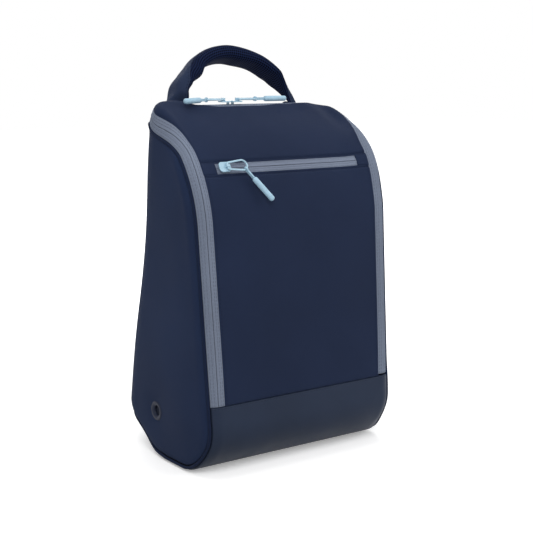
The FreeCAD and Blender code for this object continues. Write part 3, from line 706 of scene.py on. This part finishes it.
def math_node(nt, kind, a, b=0.0):
    return new_node(nt, "ShaderNodeMath", {0: a, 1: b}, operation=kind).outputs[0]


def add(nt, a, b):
    return math_node(nt, "ADD", a, b)


def times(nt, a, b):
    return math_node(nt, "MULTIPLY", a, b)


def object_place(nt):
    return new_node(nt, "ShaderNodeTexCoord").outputs["Object"]


def noise(nt, place, scale, detail=3.0, rough=0.5):
    return new_node(nt, "ShaderNodeTexNoise", {"Vector": place, "Scale": scale, "Detail": detail,
                                               "Roughness": rough}).outputs["Fac"]


def ramp(nt, fac, low, high):
    return new_node(nt, "ShaderNodeMapRange", {"Value": fac, "From Min": low, "From Max": high},
                    clamp=True).outputs["Result"]


def blend_colours(nt, fac, a, b):
    return new_node(nt, "ShaderNodeMix", {"Factor": fac, 6: (*a, 1.0), 7: (*b, 1.0)},
                    data_type="RGBA").outputs[2]


def mottled(nt, fac, colour, share):
    """A colour that drifts a share darker and lighter."""
    return blend_colours(nt, ramp(nt, fac, 0.3, 0.7), [c * (1 - share) for c in colour],
                         [min(c * (1 + share), 1.0) for c in colour])


def bump_node(nt, height, strength, distance, **below):
    return new_node(nt, "ShaderNodeBump", {"Height": height, "Strength": strength,
                                           "Distance": distance, **below}).outputs["Normal"]


def weave_axes(nt):
    """The piece's own cloth coordinates, in metres."""
    uv = new_node(nt, "ShaderNodeUVMap", uv_map="Weave").outputs["UV"]
    return new_node(nt, "ShaderNodeSeparateXYZ", {0: uv}).outputs


def threads(nt, pitch, twill):
    """Height of a weave."""
    a, b = (times(nt, axis, 2 * math.pi / pitch) for axis in weave_axes(nt)[:2])
    if twill:
        warp = math_node(nt, "SINE", add(nt, a, times(nt, b, 0.5)))
        return add(nt, times(nt, warp, 0.35), times(nt, math_node(nt, "SINE", b), 0.15))
    return times(nt, math_node(nt, "SINE", a), math_node(nt, "SINE", b))


def cloth(name, colour, pitch=0.0006, sheen=0.015, bump_height=0.00012, mottling=0.10,
          twill=False, grit=0.45):
    """Woven cloth: threads, slubs, faint fading and a soft sheen."""
    m, nt, shader = new_material(name)
    height = threads(nt, pitch, twill)
    place = object_place(nt)
    slub = noise(nt, place, 900.0, 2.0, 0.7)
    thread_tone = add(nt, times(nt, height, 0.5), 0.5)
    fine = add(nt, times(nt, thread_tone, 0.35), times(nt, slub, 0.5))
    level = add(nt, times(nt, fine, grit), 1.01 - 0.425 * grit)
    grey = new_node(nt, "ShaderNodeCombineColor", {0: level, 1: level, 2: level})
    tone = mottled(nt, noise(nt, place, 9.0, 2.0), colour, mottling)
    shade = new_node(nt, "ShaderNodeMix", {"Factor": 1.0, 6: tone, 7: grey.outputs[0]},
                     data_type="RGBA", blend_type="MULTIPLY")
    weave = bump_node(nt, add(nt, height, times(nt, slub, 0.8)), 0.6, bump_height)
    fill(nt, shader, {
        "Base Color": shade.outputs[2], "Roughness": 0.8, "Specular IOR Level": 0.08,
        "Sheen Weight": sheen, "Sheen Roughness": 0.45,
        "Normal": bump_node(nt, noise(nt, place, 60.0, 2.0), 0.25, 0.0006, Normal=weave)})
    return m


def coated(name, colour):
    """Smooth coated cloth with a fine grain."""
    m, nt, shader = new_material(name)
    place = object_place(nt)
    grain = new_node(nt, "ShaderNodeTexVoronoi", {"Scale": 1100.0, "Vector": place})
    fine = bump_node(nt, grain.outputs["Distance"], 0.35, 0.00008)
    fill(nt, shader, {
        "Base Color": mottled(nt, noise(nt, place, 12.0, 3.0), colour, 0.12),
        "Roughness": add(nt, times(nt, noise(nt, place, 40.0, 4.0), 0.16), 0.40),
        "Specular IOR Level": 0.10,
        "Normal": bump_node(nt, noise(nt, place, 45.0, 3.0), 0.25, 0.0008, Normal=fine)})
    return m


def moulded(name, colour, rough=0.5, mottle=0.10, coat=0.0, shine=0.5):
    """Moulded plastic or enamel with faint mottling."""
    m, nt, shader = new_material(name)
    place = object_place(nt)
    fill(nt, shader, {
        "Base Color": mottled(nt, noise(nt, place, 260.0, 4.0, 0.6), colour, mottle),
        "Roughness": rough, "Metallic": 0.0, "Specular IOR Level": shine, "Coat Weight": coat,
        "Normal": bump_node(nt, noise(nt, place, 572.0, 3.0), 0.25, 0.00012)})
    return m


def netting(name, colour, painted_hole_shade):
    """Air mesh: rows of small holes in a knitted face, the holes filled with near-black painted
    shade.
    """
    m, nt, shader = new_material(name)
    u, v = weave_axes(nt)[:2]
    pitch = 2 * math.pi / 0.0052
    a = times(nt, add(nt, u, v), pitch)
    b = times(nt, math_node(nt, "SUBTRACT", u, v), pitch)
    web = times(nt, math_node(nt, "COSINE", a), math_node(nt, "COSINE", b))
    holes = ramp(nt, web, -0.12, 0.22)
    # the holes get a near-black colour: painted shade inside the holes
    fill(nt, shader, {
        "Base Color": blend_colours(nt, holes, colour, painted_hole_shade), "Roughness": 0.8,
        "Specular IOR Level": 0.04,
        "Normal": bump_node(nt, math_node(nt, "SUBTRACT", 1.0, holes), 0.8, 0.0005)})
    return m


def srgb(*parts):
    return [((c / 255.0 + 0.055) / 1.055) ** 2.4 if c > 10 else c / 255.0 / 12.92
            for c in parts]


materials.update({
    "shell_fabric": cloth("shell_cloth", srgb(33, 45, 72)),
    "front_fabric": cloth("front_cloth", srgb(31, 41, 65)),
    "guard_cloth": coated("guard_cloth", srgb(36, 45, 63)),
    "piping": cloth("piping_cloth", srgb(24, 34, 58), pitch=0.0005),
    "lining": cloth("lining_cloth", srgb(34, 40, 56), pitch=0.0004, sheen=0.04),
    "stiffener": cloth("board_cover", srgb(58, 65, 82), pitch=0.0008),
    "zip_tape": cloth("zip_tape", srgb(118, 127, 145), pitch=0.0007, mottling=0.08, twill=True,
                      bump_height=0.0002, grit=1.2),
    "zip_coil": moulded("zip_nylon", srgb(100, 111, 130), rough=0.4),
    "zip_metal": moulded("zip_enamel", srgb(160, 194, 213), rough=0.32, mottle=0.04, coat=0.4),
    "pull_rubber": moulded("pull_soft", srgb(158, 192, 212), rough=0.55),
    "eyelet_metal": moulded("eyelet_enamel", srgb(22, 29, 48), rough=0.5, shine=0.2),
    "handle_cloth": cloth("handle_cloth", srgb(40, 50, 74)),
    # the net's second colour is near-black painted shade for its holes
    "handle_mesh": netting("handle_net", srgb(27, 38, 70), srgb(2, 3, 9)),
    "thread": moulded("sewing_thread", srgb(15, 21, 38), rough=0.7, shine=0.1),
    "tape_thread": moulded("tape_thread", srgb(78, 89, 108), rough=0.6),
})


# ---- wall panels

def rear_seam():
    """The upright seam between side and back, on the left corner."""
    low, high = on_loop([CORNER_LOW, CORNER_HIGH], EDGE)
    z = np.linspace(low[2], high[2], 200)
    line = np.stack([-(side_at(z) - CORNER_SEAM), back_at(z) - 11, z], -1)
    line = settle(line, (0, 1, 0))
    line[0], line[-1] = low, high
    return line


def laid(low, high, left, right, way=None):
    """A sheet between four curves, its inner spots moved onto the bag's surface."""
    grid = coons(low, high, left, right)
    way = band_normal(grid)[1:-1, 1:-1] if way is None else way
    grid[1:-1, 1:-1] = settle(grid[1:-1, 1:-1], way)
    return grid


def side_grid():
    tight_v, tight_u = crowd(110), crowd(60)
    low, high = (spaced(on_loop(np.linspace(start, stop, 240), EDGE), tight_u)
                 for start, stop in ((TOE_RUN, CORNER_LOW), (BROW_RUN, CORNER_HIGH)))
    front = spaced(on_loop(np.linspace(TOE_RUN, BROW_RUN, 400), EDGE), tight_v)
    return laid(low, high, front, spaced(rear_seam(), tight_v), (-1, 0, 0))


def back_grid():
    left, tight_u = spaced(rear_seam(), crowd(110)), crowd(70)
    return laid(through_middle(CORNER_LOW, 0, EDGE, tight_u),
                through_middle(CORNER_HIGH, LOOP_END, EDGE, tight_u),
                left, mirror(left), (0, 1, 0))


def side_crease(grid):
    """A soft ridge beside the zip, strongest under the brow, and a slack valley behind it."""
    run = runs_of(grid, 1)
    return (0.6 * np.exp(-((run - 9.0) / 5.0) ** 2)
            - 0.4 * np.exp(-((run - 26.0) / 14.0) ** 2)) * ease(grid[..., 2], 150, 300)


side = side_grid()
back = back_grid()
for hand, grid, seed in (("left", side, 3), ("right", mirror(side), 11)):
    panel("side_cloth_" + hand, grid, "bag", "shell_fabric", ["side_panel_" + hand],
          seed=seed, puff=1.6, hole=True, extra=side_crease(grid))
panel("back_cloth", back, "bag", "shell_fabric", ["back_panel"], seed=5, puff=1.2)


# ---- guard and base

def band_row(y, z, way):
    """A level row of 90 spots across the band, under the zip's outer edge."""
    x = (2 * crowd(90, 1.9) - 1) * (side_at(z) - TAPE_OUT[0])
    return settle(level_rows(x, (y, z))[0], way)


def guard_grid():
    left = spaced(on_loop(np.linspace(GUARD_RUN, SEAM_RUN, 300), TAPE_OUT), crowd(56, 1.4))
    low, high = band_row(GUARD_Y, 0.0, (0, 0, -1)), band_row(SEAM_Y, SEAM_Z, (0, -1, 0))
    left[0], left[-1] = low[0], high[0]
    return laid(low, high, left, mirror(left))


def base_grid():
    front = band_row(GUARD_Y, 0.0, (0, 0, -1))
    left = spaced(on_loop(np.linspace(GUARD_RUN, CORNER_LOW, 240), TAPE_OUT), crowd(70))
    left[0] = front[0]
    return laid(front, through_middle(CORNER_LOW, 0, TAPE_OUT, crowd(90, 1.9)),
                left, mirror(left))


guard = guard_grid()
base = base_grid()
panel("guard_front", guard, "bag", "guard_cloth", ["front_guard"], puff=0.9, seam=1.7,
      fold=0.25, size=110, seed=21, tuck=0.9)
panel("base_cloth", base, "bag", "guard_cloth", ["base_panel"], puff=0.0, seam=0.5, fold=0.0,
      seed=22)


# ---- flap panels

def flap_rows(low_s, high_s, rows, cols):
    """Rows across the flap between two runs along the profile."""
    yz = profile_at(low_s + (high_s - low_s) * crowd(rows, 1.5))
    half = side_at(yz[:, 1]) - FLAP_EDGE[0]
    return level_rows((2 * crowd(cols, 1.5) - 1) * half[:, None], yz)


def cap_grid(start_s, rows, cols):
    """The flap from a straight row over the crest to its rear edge."""
    start_run = best_run(LOOP_RUN, np.linalg.norm(LOOP[:, 1:] - profile_at(start_s), axis=1),
                         LOOP[:, 0] <= -110)
    left = spaced(on_loop(np.linspace(start_run, CORNER_HIGH, 200), FLAP_EDGE),
                  crowd(rows, 1.4))
    first = flap_rows(start_s, start_s + 1, 2, cols)[0]
    left[0] = first[0]
    return laid(first, through_middle(CORNER_HIGH, LOOP_END, FLAP_EDGE, crowd(cols, 1.5)),
                left, mirror(left))


def welt(grid, end):
    """A fold beside the pocket zip, along a flap panel's low or high end."""
    run = runs_of(grid, 0) if end == "low" else runs_of(grid[::-1], 0)[::-1]
    return -1.5 * np.exp(-((run - 2.3) / 0.9) ** 2)


def hem(grid):
    """The raised rear edge of the upper panel, beside the run of the two pulls."""
    x = grid[..., 0]
    from_rear = runs_of(grid[::-1], 0)[::-1]
    return ((1.5 + 0.5 * (x < 0) + 0.8 * bump(x, 44, 84)) * ease(np.abs(x + 12), 26, 48)
            * np.exp(-(from_rear / 9.0) ** 2) * (1 - ease(-x, 70, 100))
            * (1 - ease(x, 62, 92)))


POCKET_HALF = 5.7             # half the width of the pocket zip's opening in the cloth
lower = flap_rows(SEAM_S + 0.5, POCKET_S - POCKET_HALF, 90, 80)
upper = cap_grid(POCKET_S + POCKET_HALF, 60, 90)
panel("front_cloth_lower", lower, "flap", "front_fabric", ["front_panel_lower"], puff=1.0,
      seam=0.7, fold=0.5, size=120, seed=31, extra=welt(lower, "high"), tuck=1.4)
panel("front_cloth_upper", upper, "flap", "front_fabric", ["front_panel_upper"], puff=0.8,
      seam=0.8, fold=0.4, size=90, seed=32, extra=hem(upper) + welt(upper, "low"))

# ---- zips

POCKET_X = (-85.7, 88.5)      # ends of the pocket zip's tapes
TAPE_LEVEL = 0.65             # depth of the tapes below the surface
TEETH_LEVEL = 1.8             # depth of the teeth below the tapes
TEETH_OFF = 1.75              # from the middle of the chain to each row of teeth
LIP = [(0.0, 0.30), (0.15, 0.05), (0.7, -0.12), (1.5, -0.05), (2.1, 0.22), (2.5, 0.42),
       (2.9, 0.30), (3.4, 0.20)]
LIP_GAP = 0.16                # from the middle of the chain to each tape's folded lip
GROOVE = ((-0.45, 0.0), (-0.2, 0.16), (0.0, 0.26), (0.2, 0.16), (0.45, 0.0))
HALVES = (("upper", 1.0), ("lower", -1.0))
ZIP_RUNS = np.arange(SEAM_RUN + 0.4, 2 * LOOP_END - SEAM_RUN - 0.4, 2.0)


def pocket_point(x, v, depth=0.0):
    """Spots on the pocket's row, v up along the surface from the zip's middle."""
    p = level_rows(x, profile_at(POCKET_S + v))[0]
    return p - band_normal(p) * depth


def chain_line(offset, depth):
    """Spots along the main zip, at an offset from the middle of its chain."""
    return on_loop(ZIP_RUNS, (CHAIN[0] + offset, CHAIN[1] + offset), depth)


def tape_rows(total):
    """Rows of a tape: distance from its lip, and depth below its level."""
    start = LIP[-1][0]
    flat = total - start
    rows = list(LIP)
    for line in (0.30, 0.68):
        rows += [(start + flat * line + step, 0.2 + sunk) for step, sunk in GROOVE]
    return rows + [(start + flat * 0.88, 0.28), (total, 0.45)]


def tape_strip(name, sign, total, line_at, body, stands_for):
    """A zip tape; line_at gives its spots at an offset from the chain and a depth."""
    spots = np.array([line_at(sign * (LIP_GAP + v), TAPE_LEVEL + d)
                      for v, d in tape_rows(total - 0.1)])
    spots, facing = faced(spots, normal_at(spots))
    add_piece(name, sheet_mesh(slump(spots), facing, 0.9), body, "zip_tape", stands_for)


for half, sign in HALVES:
    tape_strip("pocket_tape_" + half, sign, POCKET_HALF,
               lambda v, d: pocket_point(np.linspace(*POCKET_X, 120), v, d), "flap",
               ["pocket_zip_tape_" + half])

for hand, sign, inner_end in (("left", -1.0, POCKET_X[0]), ("right", 1.0, POCKET_X[1])):
    rows = []
    for v in np.linspace(-POCKET_HALF + 0.1, POCKET_HALF - 0.1, 16):
        outer_end = sign * (side_at(profile_at(POCKET_S + v)[1]) - FLAP_EDGE[0])
        rows.append(pocket_point(np.linspace(*sorted((outer_end, inner_end)), 14), v))
    panel("pocket_tab_" + hand, np.array(rows), "flap", "front_fabric",
          ["pocket_end_" + hand], puff=0.1, seam=0.35, fold=0.0, seed=41)

tape_strip("zip_tape_bag", -1.0, CHAIN[0] - TAPE_OUT[0], chain_line, "bag",
           ["main_zip_tape_body"])
tape_strip("zip_tape_flap", 1.0, FLAP_EDGE[0] - CHAIN[0], chain_line, "flap",
           ["main_zip_tape_flap"])


def coil(path, normal):
    """A nylon coil wound along a path."""
    pitch, across, high, wire = 1.35, 0.85, 0.6, 0.27
    run = run_along(path)
    at = np.linspace(0, run[-1], int(run[-1] / pitch * 8))
    centre = at_runs(at, run, path)
    up = unit(at_runs(at, run, normal))
    way = frames(centre)
    side_way = unit(np.cross(way, up))
    angle = at / pitch * 2 * math.pi
    line = (centre + side_way * (across * np.cos(angle))[:, None]
            + up * (high * np.sin(angle))[:, None])
    along = frames(line)
    a = unit(np.cross(along, up + way * 0.3))
    return sweep_tube(line, a, np.cross(a, along), circle(wire, 5))


for body, sign, node in (("bag", -1.0, "body"), ("flap", 1.0, "flap")):
    level = chain_line(sign * TEETH_OFF, 0.0)
    normal = normal_at(level)
    path = slump(level - normal * (TAPE_LEVEL + TEETH_LEVEL))
    add_piece("zip_teeth_" + body, coil(path, normal), body, "zip_coil",
              ["main_zip_coil_" + node])
for half, sign in HALVES:
    path = pocket_point(np.linspace(*POCKET_X, 90), sign * TEETH_OFF, TAPE_LEVEL + TEETH_LEVEL)
    add_piece("pocket_teeth_" + half, coil(path, band_normal(path)), "flap", "zip_coil",
              ["pocket_zip_coil_" + half])


# ---- sewing

def tape_line(offset):
    """A line of sewing along the main zip, at an offset from the middle of its chain."""
    level = chain_line(offset, 0.0)
    ways = normal_at(level)
    return slump(level - ways * (TAPE_LEVEL + 0.05)), ways


for body, offsets in (("bag", (-5.7, -3.4)), ("flap", (3.3, 5.7))):
    sew("zip_sewing_" + body, [tape_line(offset) for offset in offsets], body, "tape_thread",
        radius=0.22)
for name, body, inset, edges in (
        ("pocket_sewing", "flap", 2.3, (("front_cloth_upper", "low"),
                                        ("front_cloth_lower", "high"))),
        ("flap_sewing", "flap", 2.2, [(part, edge)
                                      for part in ("front_cloth_lower", "front_cloth_upper")
                                      for edge in ("left", "right")]),
        ("guard_sewing", "bag", 2.4, (("guard_front", "high"),)),
        ("back_sewing", "bag", 2.6, (("back_cloth", "left"), ("back_cloth", "right")))):
    sew(name, [near_edge(part, edge, inset) for part, edge in edges], body)

# ---- piping

PIPE_RADIUS, PIPE_SIDES = 1.55, 12
pipe_runs = np.arange(0, 2 * LOOP_END, 2.0)
pipe_level = on_loop(pipe_runs, PIPING)
pipe_up = normal_at(pipe_level)
pipe_low = 0.35 + 0.75 * ease(pipe_level[:, 2], 60, 95) * ease(-pipe_level[:, 1], -60, 0)
pipe_path = slump(pipe_level - pipe_up * pipe_low[:, None])
pipe_way = frames(pipe_path, closed=True)
pipe_uv = np.stack([np.tile(np.arange(PIPE_SIDES) * 0.8, len(pipe_runs)),
                    np.repeat(pipe_runs, PIPE_SIDES)], 1)
add_piece("piping_cord", (*sweep_tube(pipe_path, unit(np.cross(pipe_way, pipe_up)), pipe_up,
                                      circle(PIPE_RADIUS, PIPE_SIDES), closed=True), pipe_uv),
          "bag", "piping", ["edge_piping"])


# ---- linings and board

def lining_sheet(grid, depth, thick=0.6):
    """A thin sheet at a depth below the bag's surface."""
    normals = normal_at(grid)
    outer = pierced(slump(grid - normals * np.asarray(depth)[..., None]))
    return sheet_mesh(*faced(outer, normals), thick)


def thin(grid):
    """Every second row and column of a grid, its edges kept."""
    rows, cols = (sorted({*range(0, size, 2), size - 1}) for size in grid.shape[:2])
    return grid[rows][:, cols]


def pocket_room(grid, beside):
    """Depth of the flap's lining: room for the pocket, but not at the flap's edges unless
    they are beside the pocket's zip."""
    return INSIDE + (2.0 + 2 * LINING) * ease(from_edge(grid) + beside * 50, 0, 14)


lining_parts = [lining_sheet(thin(g), INSIDE)
                for g in (side, mirror(side), back, guard, base)]
rim_rows = [on_loop(np.arange(0, 2 * LOOP_END, 6.0), (w, w + 2.2), INSIDE)
            for w in (1.2, 2.4, 4.0, 6.0)]
lining_parts.append(lining_sheet(np.array(rim_rows), 0.0))
add_piece("lining_bag", without_hole(joined(lining_parts)), "bag", "lining", ["body_lining"])

BOARD_HALF, BOARD_THICK = 88, 1.9
board_x, board_y = np.meshgrid(np.linspace(-BOARD_HALF, BOARD_HALF, 40),
                               np.linspace(SEAM_Y + 44, SEAM_Y + 128, 30))
board = settle(np.stack([board_x, board_y, np.full_like(board_x, 2.0)], -1), (0, 0, -1))
add_piece("base_pad", lining_sheet(board, SKIN + LINING + 0.05, BOARD_THICK), "bag", "stiffener",
          ["base_board"])

whole_low = flap_rows(SEAM_S + 0.7, POCKET_S, 50, 60)
whole_high = cap_grid(POCKET_S, 40, 60)
inner_columns = 1 - np.abs(2 * crowd(60, 1.5) - 1) > 0.12
beside_high = (whole_high[..., 1] < -50.5) | (whole_high[..., 1] < -40) & inner_columns
add_piece("lining_flap",
          joined([lining_sheet(whole_low, pocket_room(whole_low, whole_low[..., 2] > 280)),
                  lining_sheet(whole_high, pocket_room(whole_high, beside_high))]),
          "flap", "lining", ["flap_lining"])

POCKET_DEPTH, POCKET_WIDTH = 160.0, 0.88    # the width is a share of the flap's
pocket_bag = flap_rows(POCKET_S - POCKET_DEPTH, POCKET_S - POCKET_HALF, 40, 40)
pocket_bag = pocket_bag * np.array([POCKET_WIDTH, 1, 1])
add_piece("pocket_bag", lining_sheet(pocket_bag, SKIN + 0.15, 0.5), "flap", "lining",
          ["pocket_lining"])

# cloth that crosses the fold between guard and flap, on the inside
fold_half = side_at(SEAM_Z) - 24.0
fold_grid = level_rows(np.linspace(-fold_half, fold_half, 40),
                       profile_at(SEAM_S + np.linspace(-9, 9, 25)))
fold_strip = add_piece("fold_strip", lining_sheet(fold_grid, SKIN + LINING + 0.3, 0.7), None,
                       "lining")
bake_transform(fold_strip)


# ---- eyelets

def turned(profile, centre, axis, count=48):
    """A ring turned about an axis: profile holds its radii and heights."""
    axis = unit(axis)
    side_way = unit(np.cross(axis, (0, 1, 0.01)))
    up = np.cross(axis, side_way)
    turn = np.linspace(0, 2 * math.pi, count, endpoint=False)[:, None]
    rings = [centre + axis * h + side_way * (r * np.cos(turn)) + up * (r * np.sin(turn))
             for r, h in profile]
    index = np.arange(len(profile) * count).reshape(len(profile), count)
    faces = np.stack([index, np.roll(index, -1, 1), np.roll(index, (-1, -1), (0, 1)),
                      np.roll(index, -1, 0)], -1)
    return np.concatenate(rings), faces.reshape(-1, 4).tolist()


FLANGE = [(5.05, -3.9), (5.6, -3.9), (5.7, -0.5), (9.5, -0.4), (10.0, -0.1), (10.2, 0.3),
          (10.0, 0.8), (9.4, 1.2), (8.5, 1.35), (7.6, 1.3), (6.7, 1.0), (5.9, 0.45),
          (5.3, -0.2), (5.05, -1.0)]
WASHER = [(5.8, -4.0), (8.2, -4.0), (8.45, -3.8), (8.4, -3.3), (5.8, -3.3)]
for hand, sign in HANDS:
    for name, profile, node in (("eyelet_ring_", FLANGE, "eyelet_"),
                                ("eyelet_backing_", WASHER, "eyelet_washer_")):
        add_piece(name + hand, turned(profile, *eyelet_spot(sign)), "bag", "eyelet_metal",
                  [node + hand])

# ---- handle

FOOT_X = 70.0
foot = np.array([0.0, 34.50, 348.95])
lean = math.radians(20.0)
ACROSS = np.array([1.0, 0, 0])
RISE = np.array([0, math.sin(lean), math.cos(lean)])
DEPTH = np.array([0, math.cos(lean), -math.sin(lean)])
THIN, FOOT_THIN = 9.5, 24.0   # thickness of the pad, in the plane of its arch
WIDE, FOOT_WIDE = 30.0, 2.4


def arch():
    """Centre line of the handle (across, up), from the right foot to the left foot."""
    leg = [np.array([FOOT_X - 13.0 * t, 35.0 * t]) for t in np.linspace(0, 1, 30)]
    slope = unit(np.array([-13.0, 35.0]))
    ends = [np.array([57.0, 35.0]), np.array([57.0, 35.0]) + slope * 14.0,
            np.array([20.0, 63.0]), np.array([0.0, 63.0])]
    curve = [(1 - t) ** 3 * ends[0] + 3 * t * (1 - t) ** 2 * ends[1]
             + 3 * t * t * (1 - t) * ends[2] + t ** 3 * ends[3]
             for t in np.linspace(0, 1, 60)[1:]]
    half = np.array(leg + curve)
    full = np.concatenate([half, (half * np.array([-1, 1]))[-2::-1]])
    return spaced(full, np.linspace(0, 1, 141))


# the arch sags a little: its feet spread, and its left shoulder stands out
x, h = arch().T
h = h + ease(h, 15, 50) * (0.8 + 1.9 * ease(-x, -15, 30))
on_left = x < 0
spread = ease(h, -2, 9) * np.where(on_left, 4.2 * (1 - ease(h, 20, 46)),
                                   8.2 * (1 - ease(h, 12, 33)))
x = x + np.where(on_left, 2.7 * bump(h, 32, 62) - spread, spread)
centre_line = np.stack([x, h], 1)
arch_way = unit(np.gradient(centre_line, axis=0))
arch_run = run_along(centre_line)
from_foot = np.minimum(arch_run, arch_run[-1] - arch_run)

# how wide and thick the pad is along the arch
wide = FOOT_WIDE + np.where(on_left, ease(from_foot, -1, 19.0),
                            ease(from_foot, 9, 46.0)) * (WIDE - FOOT_WIDE)
pinch = np.where(on_left, ease(from_foot, 2, 30.0), ease(from_foot, 0, 11.0))
crown = ease(from_foot, 34, 62) * np.where(on_left, 1.0, 1 - 0.6 * ease(x, 10, 40))
outer_add = np.where(on_left, 3.2 * bump(from_foot, 14, 42), 0.0) + 0.9 * ease(from_foot, 50, 70)
inner_add = 5.2 * crown + np.where(
    on_left, 4.6 * ease(from_foot, 18, 34) * (1 - ease(from_foot, 50, 64)),
    -4.2 * bump(from_foot, 18, 54))
thick = FOOT_THIN + pinch * (THIN - FOOT_THIN) + outer_add + inner_add
out3 = ACROSS * arch_way[:, 1:] - RISE * arch_way[:, :1]
path3 = (foot + ACROSS * centre_line[:, :1] + RISE * centre_line[:, 1:]
         + out3 * (0.5 * (outer_add - inner_add))[:, None])

# the seams between cover and net, as angles of the pad's section
rear_seams = np.full(len(path3), math.radians(-18))
front_seams = math.radians(198) - math.radians(92) * np.where(
    on_left, ease(from_foot, 26, 60), ease(from_foot, 6, 64))


def pad_strip(name, first, last, count, slot, stands_for, inward=0.0):
    """A strip round the pad between two angles of its section, which vary along it."""
    angles = np.linspace(first, last, count, axis=-1)
    c, s = np.cos(angles), np.sin(angles)
    deep = (0.5 * (wide - inward * 2 * ease(from_foot, 0, 30.0))[:, None]
            * np.sign(c) * np.abs(c) ** 0.55)
    outward = 0.5 * (thick - inward * 2)[:, None] * np.sign(s) * np.abs(s) ** 0.8
    grid = path3[:, None] + DEPTH * deep[..., None] + out3[:, None] * outward[..., None]
    surfaces[name] = faced(grid, grid - path3[:, None])
    return add_piece(name, sheet_mesh(*surfaces[name], 0.8), "handle", slot, stands_for)


cover = pad_strip("handle_pad", rear_seams, front_seams, 36, "handle_cloth",
                  ["handle_cover", "handle_foam"])
pad_strip("handle_net", front_seams, rear_seams + 2 * math.pi, 30, "handle_mesh",
          ["handle_mesh"], inward=0.15)
sew("handle_sewing", [near_edge("handle_pad", edge, 2.0, 0.04, 0.96)
                      for edge in ("left", "right")], "handle")

# anchor patches under the handle's feet
PATCH_HALF, PATCH_FOOT, PATCH_TOP = 12.7, 322.5, 352.0
for hand, sign in HANDS:
    z = np.linspace(PATCH_FOOT, PATCH_TOP, 24)
    grid = level_rows(sign * FOOT_X + np.linspace(-PATCH_HALF, PATCH_HALF, 16),
                      np.stack([back_at(z), z], -1))
    grid = settle(grid, (0, 1, 0), -1.1)
    grid, facing = faced(grid, normal_at(grid))
    add_piece("handle_patch_" + hand, sheet_mesh(slump(grid), facing, 1.0), "bag",
              "shell_fabric", ["handle_anchor_" + hand])

# ---- sliders and pulls

for part in ("left", "right", "pocket"):
    for node, slot in (("zip_slider_", "zip_metal"), ("pull_ring_", "zip_metal"),
                       ("pull_link_", "pull_rubber"), ("pull_tab_", "pull_rubber")):
        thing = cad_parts[node + part]
        thing.data.materials.clear()
        thing.data.materials.append(materials[slot])


# ---- floor, light, camera

def end_tree(nt, output, lit, shown):
    """Ends a tree: lit acts on the object, and shown is seen, also in gloss and glass."""
    kinds = new_node(nt, "ShaderNodeLightPath").outputs
    seen = math_node(nt, "MAXIMUM", kinds["Is Camera Ray"],
                     math_node(nt, "MAXIMUM", kinds["Is Glossy Ray"],
                               kinds["Is Transmission Ray"]))
    pick = new_node(nt, "ShaderNodeMixShader", {0: seen, 1: lit.outputs[0],
                                                2: shown.outputs[0]})
    new_node(nt, output, {0: pick.outputs[0]})


WHITE = (1, 1, 1, 1)
FLOOR_HALF, FLOOR_DROP = 6, 0.0006
SKY_LIT, SKY_SHOWN = 0.44, 1.0              # the sky's strength as light and as seen
AIM_SPOT = Vector((0, 0, 0.2))
floor_mesh = bpy.data.meshes.new("floor")
floor_mesh.from_pydata([(FLOOR_HALF * i, FLOOR_HALF * j, 0)
                        for i, j in ((-1, -1), (1, -1), (1, 1), (-1, 1))], [], [(0, 1, 2, 3)])
floor = new_object("floor", floor_mesh)
floor.location.z = -FLOOR_DROP
floor_white = bpy.data.materials.new("floor_white")
nt = empty_tree(floor_white)
# as seen, the floor glows more the further out it lies, so that it ends in white
far = new_node(nt, "ShaderNodeVectorMath", {0: object_place(nt)}, operation="LENGTH")
strength = add(nt, times(nt, ramp(nt, far.outputs["Value"], 0.3, 0.8), 0.6), 0.30)
glow = new_node(nt, "ShaderNodeEmission", {"Strength": strength})
pale = new_node(nt, "ShaderNodeBsdfDiffuse", {"Color": WHITE})
end_tree(nt, "ShaderNodeOutputMaterial",
         new_node(nt, "ShaderNodeBsdfDiffuse", {"Color": (0.6, 0.6, 0.6, 1)}),
         new_node(nt, "ShaderNodeAddShader", {0: pale.outputs[0], 1: glow.outputs[0]}))
floor_mesh.materials.append(floor_white)

world = bpy.data.worlds.new("studio")
bpy.context.scene.world = world
nt = empty_tree(world)
end_tree(nt, "ShaderNodeOutputWorld",
         *(new_node(nt, "ShaderNodeBackground", {"Color": WHITE, "Strength": power})
           for power in (SKY_LIT, SKY_SHOWN)))


def aim(thing, spot, way):
    thing.location = spot
    thing.rotation_mode = "QUATERNION"
    thing.rotation_quaternion = way.to_track_quat("-Z", "Y")


for name, spot, size, power in (("key", (-1.2, -1.6, 1.9), 1.6, 30),
                                ("fill", (1.8, -1.4, 1.2), 1.8, 18),
                                ("top", (0.1, 0.4, 2.4), 1.8, 15),
                                ("rear", (0.9, 1.9, 1.3), 1.6, 14)):
    lamp = bpy.data.lights.new(name, "AREA")
    lamp.shape = "DISK"
    lamp.size = size
    lamp.energy = power
    aim(new_object(name, lamp), spot, AIM_SPOT - Vector(spot))

CAMERA_SPOT = (-0.70803, -1.00107, 0.39446)
CAMERA_LENS = 79.70
AZIMUTH = math.radians(35.81)
PITCH = math.radians(9.596)
camera_data = bpy.data.cameras.new("camera")
camera_data.lens = CAMERA_LENS
camera_data.sensor_width = 36.0
camera_data.clip_end = 50.0
camera = new_object("camera", camera_data)
aim(camera, CAMERA_SPOT,
    Vector((math.sin(AZIMUTH) * math.cos(PITCH), math.cos(AZIMUTH) * math.cos(PITCH),
            -math.sin(PITCH))))
bpy.context.scene.camera = camera
bpy.context.scene.view_settings.view_transform = "Standard"
